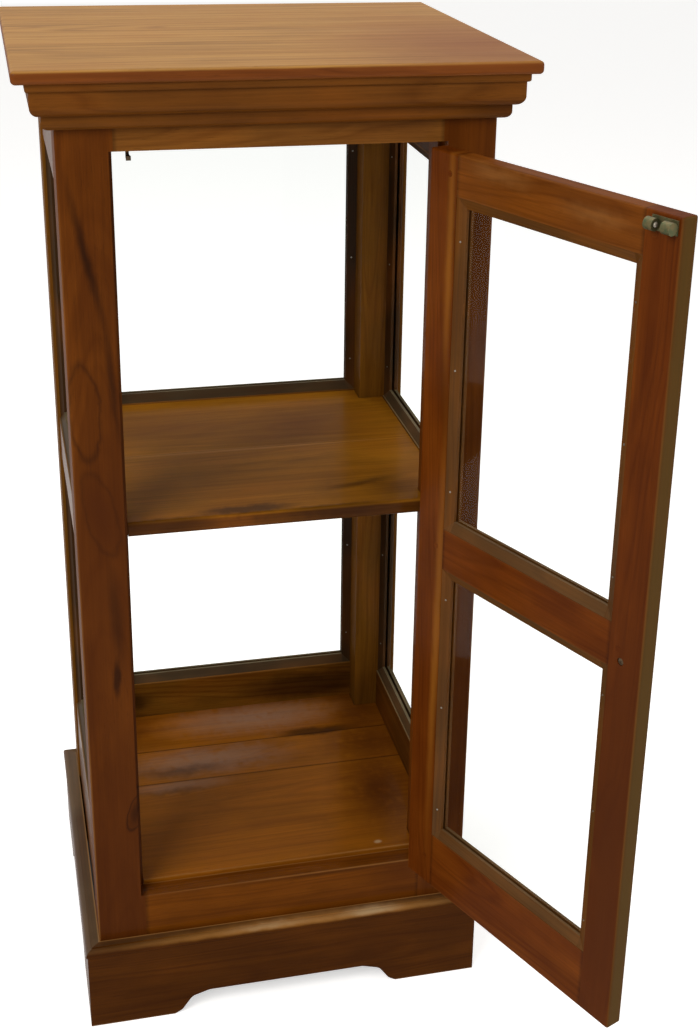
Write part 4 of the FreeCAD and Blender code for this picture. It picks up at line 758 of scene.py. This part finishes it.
def build_teak():
    """Gives every wooden node its own board of teak."""
    figure_group()
    for index, (node, board) in enumerate(BOARDS.items()):
        board = replace(board, seed=1.3 + 1.37 * index, marks=MARKS.get(node, ()))
        paint([node], teak(node, board))
    # The grain past the mitres, the ring's middle, and how far from it they start
    corner_of_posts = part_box("post_back_right")[1] - MIDDLE
    ring = ("back", MIDDLE, {"X": corner_of_posts.x, "Y": corner_of_posts.y})
    for index, node in enumerate(("cornice_upper", "cornice_lower")):
        paint([node], teak(node, replace(MOULDING, seed=33.3 + index), ring))
    for index, (node, bead) in enumerate(BEADS.items()):
        middle, half = board_box(node)
        halves = {"Y": half.y - BEAD_WIDTH} if bead.grain == "back" else {"X": half.x - BEAD_WIDTH}
        paint([node], teak(node, replace(bead, seed=35.1 + index), ("up", middle, halves)))
    paint(["door_pegs"], teak("door_pegs", PEG))


class CABINET_OT_teak(bpy.types.Operator):
    """Gives every board, moulding and bead its own piece of teak"""

    bl_idname = "cabinet.teak"
    bl_label = "Teak boards"

    def execute(self, context):
        build_teak()
        return {"FINISHED"}


class CABINET_OT_glass(bpy.types.Operator):
    """Glazes the walls and the door"""

    bl_idname = "cabinet.glass"
    bl_label = "Glass panes"

    def execute(self, context):
        paint([node for node in frame["nodes"] if node.endswith("_glass")], float_glass())
        return {"FINISHED"}


# Each metal's name, own colour, bloom, the most that the bloom covers, least roughness, and nodes
METALS = (
    ("cast brass, tarnished", "brass", "verdigris", 0.3, 0.35, ("hinge_frame_leaves", "hinge_door_leaves")),
    ("cast brass with verdigris", "brass", "verdigris", 0.95, 0.45, ("catch_body",)),
    ("turned bronze, darkened", "bronze", "stain", 0.5, 0.4, ("pull_post", "pull_drop")),
    (
        "drawn steel, dulled", "steel", "rust", 0.6, 0.35,
        ("hinge_pins", "catch_ball_inner", "catch_ball_outer", "catch_springs"),
    ),
    (
        # The strike gets this dark browned steel as painted shade
        "screw steel, browned", "rust", "stain", 0.7, 0.45,
        ("frame_screws", "door_screws", "pull_screw", "catch_strike"),
    ),
)


class CABINET_OT_metal(bpy.types.Operator):
    """Gives the fittings their old brass, bronze and steel"""

    bl_idname = "cabinet.metal"
    bl_label = "Brass, bronze and steel"

    def execute(self, context):
        for *facts, nodes in METALS:
            paint(nodes, old_metal(*facts))
        return {"FINISHED"}


# Modelled pieces

SMOOTH_ANGLE = math.radians(32)
# A bead's face falls 4 mm over its width, and its middle is this far inward of the pane's
BEAD_SLOPE = math.atan2(4 * MM, BEAD_WIDTH)
BEAD_RISE = 6.5 * MM
# From the pane's edge to the row of pins
PIN_INSET = 4.0 * MM
# How far the screw's slot is turned, in radians
SLOT_TURN = 0.5


def select_only(*pieces):
    """Selects these pieces in object mode, the first one last, so that it is active."""
    if bpy.context.mode != "OBJECT":
        bpy.ops.object.mode_set(mode="OBJECT")
    bpy.ops.object.select_all(action="DESELECT")
    for piece in reversed(pieces):
        piece.select_set(True)
        bpy.context.view_layer.objects.active = piece


def settle(piece):
    """Moves the piece's place into its mesh."""
    select_only(piece)
    bpy.ops.object.transform_apply(location=True, rotation=True, scale=True)


def finish_piece(piece, name, body, metal):
    piece.name = name
    piece.data.name = name
    piece.data.materials.clear()
    piece.data.materials.append(bpy.data.materials[metal])
    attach(piece, body)


def turned(profile, sides):
    """A turned piece on the Z axis: a disc whose rim is extruded along the profile of (radius, height)."""
    select_only()
    radius, height = profile[0]
    place = (0, 0, height)
    bpy.ops.mesh.primitive_circle_add(vertices=sides, radius=radius, fill_type="NGON", location=place)
    bpy.ops.object.mode_set(mode="EDIT")
    for next_radius, next_height in profile[1:]:
        bpy.ops.mesh.extrude_region_move(TRANSFORM_OT_translate={"value": (0, 0, next_height - height)})
        share = next_radius / radius
        bpy.ops.transform.resize(value=(share, share, 1.0))
        radius, height = next_radius, next_height
    bpy.ops.mesh.select_all(action="SELECT")
    bpy.ops.mesh.remove_doubles(threshold=1e-6)
    bpy.ops.mesh.normals_make_consistent(inside=False)
    bpy.ops.object.mode_set(mode="OBJECT")
    bpy.ops.object.shade_smooth_by_angle(angle=SMOOTH_ANGLE)
    return bpy.context.active_object


def pin_places(low, high, spacing):
    """Places of the pins along an upright bead."""
    count = max(1, math.ceil((high - low) / spacing))
    start = (low + high) / 2 - spacing * (count - 1) / 2
    return [start + spacing * index for index in range(count)]


def pane_pins(node, across, inward, spacing):
    """Where one pane's pins stand: across is the pane's level axis, and inward is into the cabinet."""
    middle, half = board_box(node)
    reach = abs(half.dot(across))
    turn_in = Matrix((across, -across.cross(inward), inward)).transposed().to_4x4()
    places = []
    for side in (-1, 1):
        for height in pin_places(BEAD_WIDTH - half.z, half.z - BEAD_WIDTH, spacing):
            place = middle + across * side * (reach - PIN_INSET) + inward * BEAD_RISE
            place.z += height
            lean = Matrix.Rotation(-side * BEAD_SLOPE, 4, "Y")
            places.append(Matrix.Translation(place) @ turn_in @ lean)
    return [SWING @ place for place in places] if is_on_door(node) else places


class CABINET_OT_pins(bpy.types.Operator):
    """Drives the panel pins into the glazing beads"""

    bl_idname = "cabinet.pins"
    bl_label = "Panel pins"

    def execute(self, context):
        sizes = context.scene.cabinet_sizes
        radius = sizes.pin_head / 2
        profile = [(radius, -0.3 * MM), (radius, 0.2 * MM), (radius * 0.64, 0.4 * MM)]
        head = turned(profile, sides=12)
        along_x, along_y = Vector((1, 0, 0)), Vector((0, 1, 0))
        fixed = (("left", along_y, along_x), ("right", along_y, -along_x), ("back", along_x, -along_y))
        doors = (("door", along_x, along_y),)
        for name, body, walls in (("door_bead_pins", "door", doors), ("wall_bead_pins", "cabinet", fixed)):
            places = []
            for wall, across, inward in walls:
                for pane in ("_upper_glass", "_lower_glass"):
                    places += pane_pins(wall + pane, across, inward, sizes.pin_spacing)
            copies = []
            for place in places:
                copy = head.copy()
                copy.data = head.data.copy()
                context.collection.objects.link(copy)
                copy.matrix_world = place
                copies.append(copy)
            select_only(*copies)
            bpy.ops.object.join()
            settle(copies[0])
            finish_piece(copies[0], name, body, "drawn steel, dulled")
        bpy.data.objects.remove(head)
        return {"FINISHED"}


class CABINET_OT_pull_screw(bpy.types.Operator):
    """Makes the slotted screw that holds the pull, with its head on the inside of the lock stile"""

    bl_idname = "cabinet.pull_screw"
    bl_label = "Slotted screw of the pull"

    def execute(self, context):
        sizes = context.scene.cabinet_sizes
        middle, half = board_box("pull_screw")
        # The shank starts at the door's outer side, and the head's face looks into the cabinet
        shank, head = 2.0 * MM, 3.6 * MM
        length = 2 * half.y
        slot_depth = 0.75 * MM
        profile = [
            (shank * 0.7, 0.0),
            (shank, 1.0 * MM),
            (shank, length - 2.0 * MM),
            (head, length - 1.9 * MM),
            (head, length - 1.0 * MM),
            (head * 0.86, length - 0.35 * MM),
            (head * 0.55, length - 0.02 * MM),
        ]
        screw = turned(profile, sides=40)
        bpy.ops.mesh.primitive_cube_add(size=1.0, location=(0, 0, length))
        cutter = context.active_object
        cutter.scale = (3 * head, sizes.screw_slot, 2 * slot_depth)
        settle(cutter)
        slot = screw.modifiers.new("slot", "BOOLEAN")
        slot.operation = "DIFFERENCE"
        slot.object = cutter
        select_only(screw)
        bpy.ops.object.modifier_apply(modifier="slot")
        bpy.data.objects.remove(cutter)
        place = Matrix.Translation((middle.x, middle.y - half.y, middle.z))
        upright = Matrix.Rotation(math.radians(-90), 4, "X")
        screw.matrix_world = SWING @ place @ upright @ Matrix.Rotation(SLOT_TURN, 4, "Z")
        settle(screw)
        finish_piece(screw, "pull_screw_slotted", "door", "screw steel, browned")
        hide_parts("pull_screw")
        return {"FINISHED"}


# Studio, placed from the carcass's middle

CAMERA_PLACE = Vector((-0.25888, -1.56867, 1.24518))
CAMERA_TURN = (67.877, -1.125, -13.743)
CAMERA_LENS = 55.51
CAMERA_SHIFT = (-0.0267, -0.0817)
# Lamps: place and target in metres, size across and along in metres, and watts
LAMPS = (
    ("key", (-1.7, -1.9, 2.5), (0, 0, 0.55), (1.5, 1.5), 62),
    ("fill", (2.2, -1.6, 1.6), (0, 0, 0.5), (1.8, 1.8), 20),
    ("top", (0.0, 0.6, 2.9), (0, 0, 0.6), (1.6, 1.6), 24),
)
# What the white room lights the cabinet with, and what the floor adds to itself where it is seen
ROOM_LIGHT = 0.4
FLOOR_GLOW = 0.55
FLOOR_SIZE, FLOOR_PLACE = 14.0, (0, 1.5, 0)


def seen_share(tree, path):
    """1 for the rays that see the background: the camera's, and those off gloss and through glass."""
    values = {0: path.outputs["Is Camera Ray"], 1: path.outputs["Is Glossy Ray"]}
    sharp = add_node(tree, "Math", values, operation="MAXIMUM")
    return add_node(tree, "Math", {0: sharp, 1: path.outputs["Is Transmission Ray"]}, operation="MAXIMUM")


def studio_paper():
    """Matt pale paper. It gives the eye the cabinet's soft shadow, and glows to white round it."""
    colours = bpy.context.scene.cabinet_colours
    material, tree = new_material("pale studio paper")
    place = add_node(tree, "TexCoord").outputs["Object"]
    tooth = add_node(tree, "TexNoise", {"Vector": place, "Scale": 300.0, "Detail": 2.0})
    relief = add_node(tree, "Bump", {"Height": tooth, "Strength": 0.02, "Distance": 0.001})
    values = {"Base Color": colours.paper, "Roughness": 0.95, "Specular IOR Level": 0.1, "Normal": relief}
    matt = add_node(tree, "BsdfPrincipled", values)
    seen = seen_share(tree, add_node(tree, "LightPath"))
    lift = add_node(tree, "Math", {0: seen, 1: FLOOR_GLOW}, operation="MULTIPLY")
    glow = add_node(tree, "Emission", {"Color": (1, 1, 1), "Strength": lift})
    both = add_node(tree, "AddShader", {0: matt, 1: glow})
    add_node(tree, "OutputMaterial", {"Surface": both})
    return material


def add_lamp(name, place, target, size, power):
    place, target = MIDDLE + Vector(place), MIDDLE + Vector(target)
    bpy.ops.object.light_add(type="AREA", location=place)
    lamp = bpy.context.active_object
    lamp.name = name
    lamp.data.shape = "RECTANGLE"
    lamp.data.size, lamp.data.size_y = size
    lamp.data.energy = power
    lamp.rotation_euler = (target - place).to_track_quat("-Z", "Y").to_euler()


class CABINET_OT_studio(bpy.types.Operator):
    """Sets the pale floor, the soft lamps, the world and the camera"""

    bl_idname = "cabinet.studio"
    bl_label = "Plain studio"

    def execute(self, context):
        scene = context.scene
        select_only()
        bpy.ops.mesh.primitive_plane_add(size=FLOOR_SIZE, location=FLOOR_PLACE)
        floor = context.active_object
        floor.name = "studio_floor"
        floor.data.materials.append(studio_paper())

        world = bpy.data.worlds.new("soft white room")
        world.use_nodes = True
        tree = world.node_tree
        tree.nodes.clear()
        seen = seen_share(tree, add_node(tree, "LightPath"))
        level = add_node(tree, "MapRange", {"Value": seen, "To Min": ROOM_LIGHT, "To Max": 1.0})
        room = add_node(tree, "Background", {"Color": (1, 1, 1), "Strength": level})
        add_node(tree, "OutputWorld", {"Surface": room})
        scene.world = world

        for lamp in LAMPS:
            add_lamp(*lamp)

        turn = [math.radians(angle) for angle in CAMERA_TURN]
        bpy.ops.object.camera_add(location=MIDDLE + CAMERA_PLACE, rotation=turn)
        camera = context.active_object
        camera.name = "camera"
        camera.data.sensor_fit = "VERTICAL"
        camera.data.sensor_height = 36.0
        camera.data.lens = CAMERA_LENS
        camera.data.shift_x, camera.data.shift_y = CAMERA_SHIFT
        camera.data.clip_start = 0.05
        scene.camera = camera
        scene.view_settings.view_transform = "Standard"
        return {"FINISHED"}


class CABINET_PT_panel(bpy.types.Panel):
    """Lists the cabinet's pieces"""

    bl_idname = "CABINET_PT_panel"
    bl_label = "Display Cabinet"
    bl_space_type = "VIEW_3D"
    bl_region_type = "UI"
    bl_category = "Cabinet"

    def draw(self, context):
        for operator in OPERATORS:
            self.layout.operator(operator.bl_idname)
        for settings in (context.scene.cabinet_sizes, context.scene.cabinet_colours):
            column = self.layout.column(align=True)
            for name in settings.__annotations__:
                column.prop(settings, name)


OPERATORS = (
    CABINET_OT_teak,
    CABINET_OT_glass,
    CABINET_OT_metal,
    CABINET_OT_pins,
    CABINET_OT_pull_screw,
    CABINET_OT_studio,
)
CLASSES = (CabinetColours, CabinetSizes) + OPERATORS + (CABINET_PT_panel,)


def register():
    for each in CLASSES:
        bpy.utils.register_class(each)
    bpy.types.Scene.cabinet_colours = PointerProperty(type=CabinetColours)
    bpy.types.Scene.cabinet_sizes = PointerProperty(type=CabinetSizes)


def unregister():
    del bpy.types.Scene.cabinet_colours
    del bpy.types.Scene.cabinet_sizes
    for each in reversed(CLASSES):
        bpy.utils.unregister_class(each)


def main():
    register()
    bpy.ops.cabinet.teak()
    bpy.ops.cabinet.glass()
    bpy.ops.cabinet.metal()
    bpy.ops.cabinet.pins()
    bpy.ops.cabinet.pull_screw()
    bpy.ops.cabinet.studio()


if __name__ == "__main__":
    main()
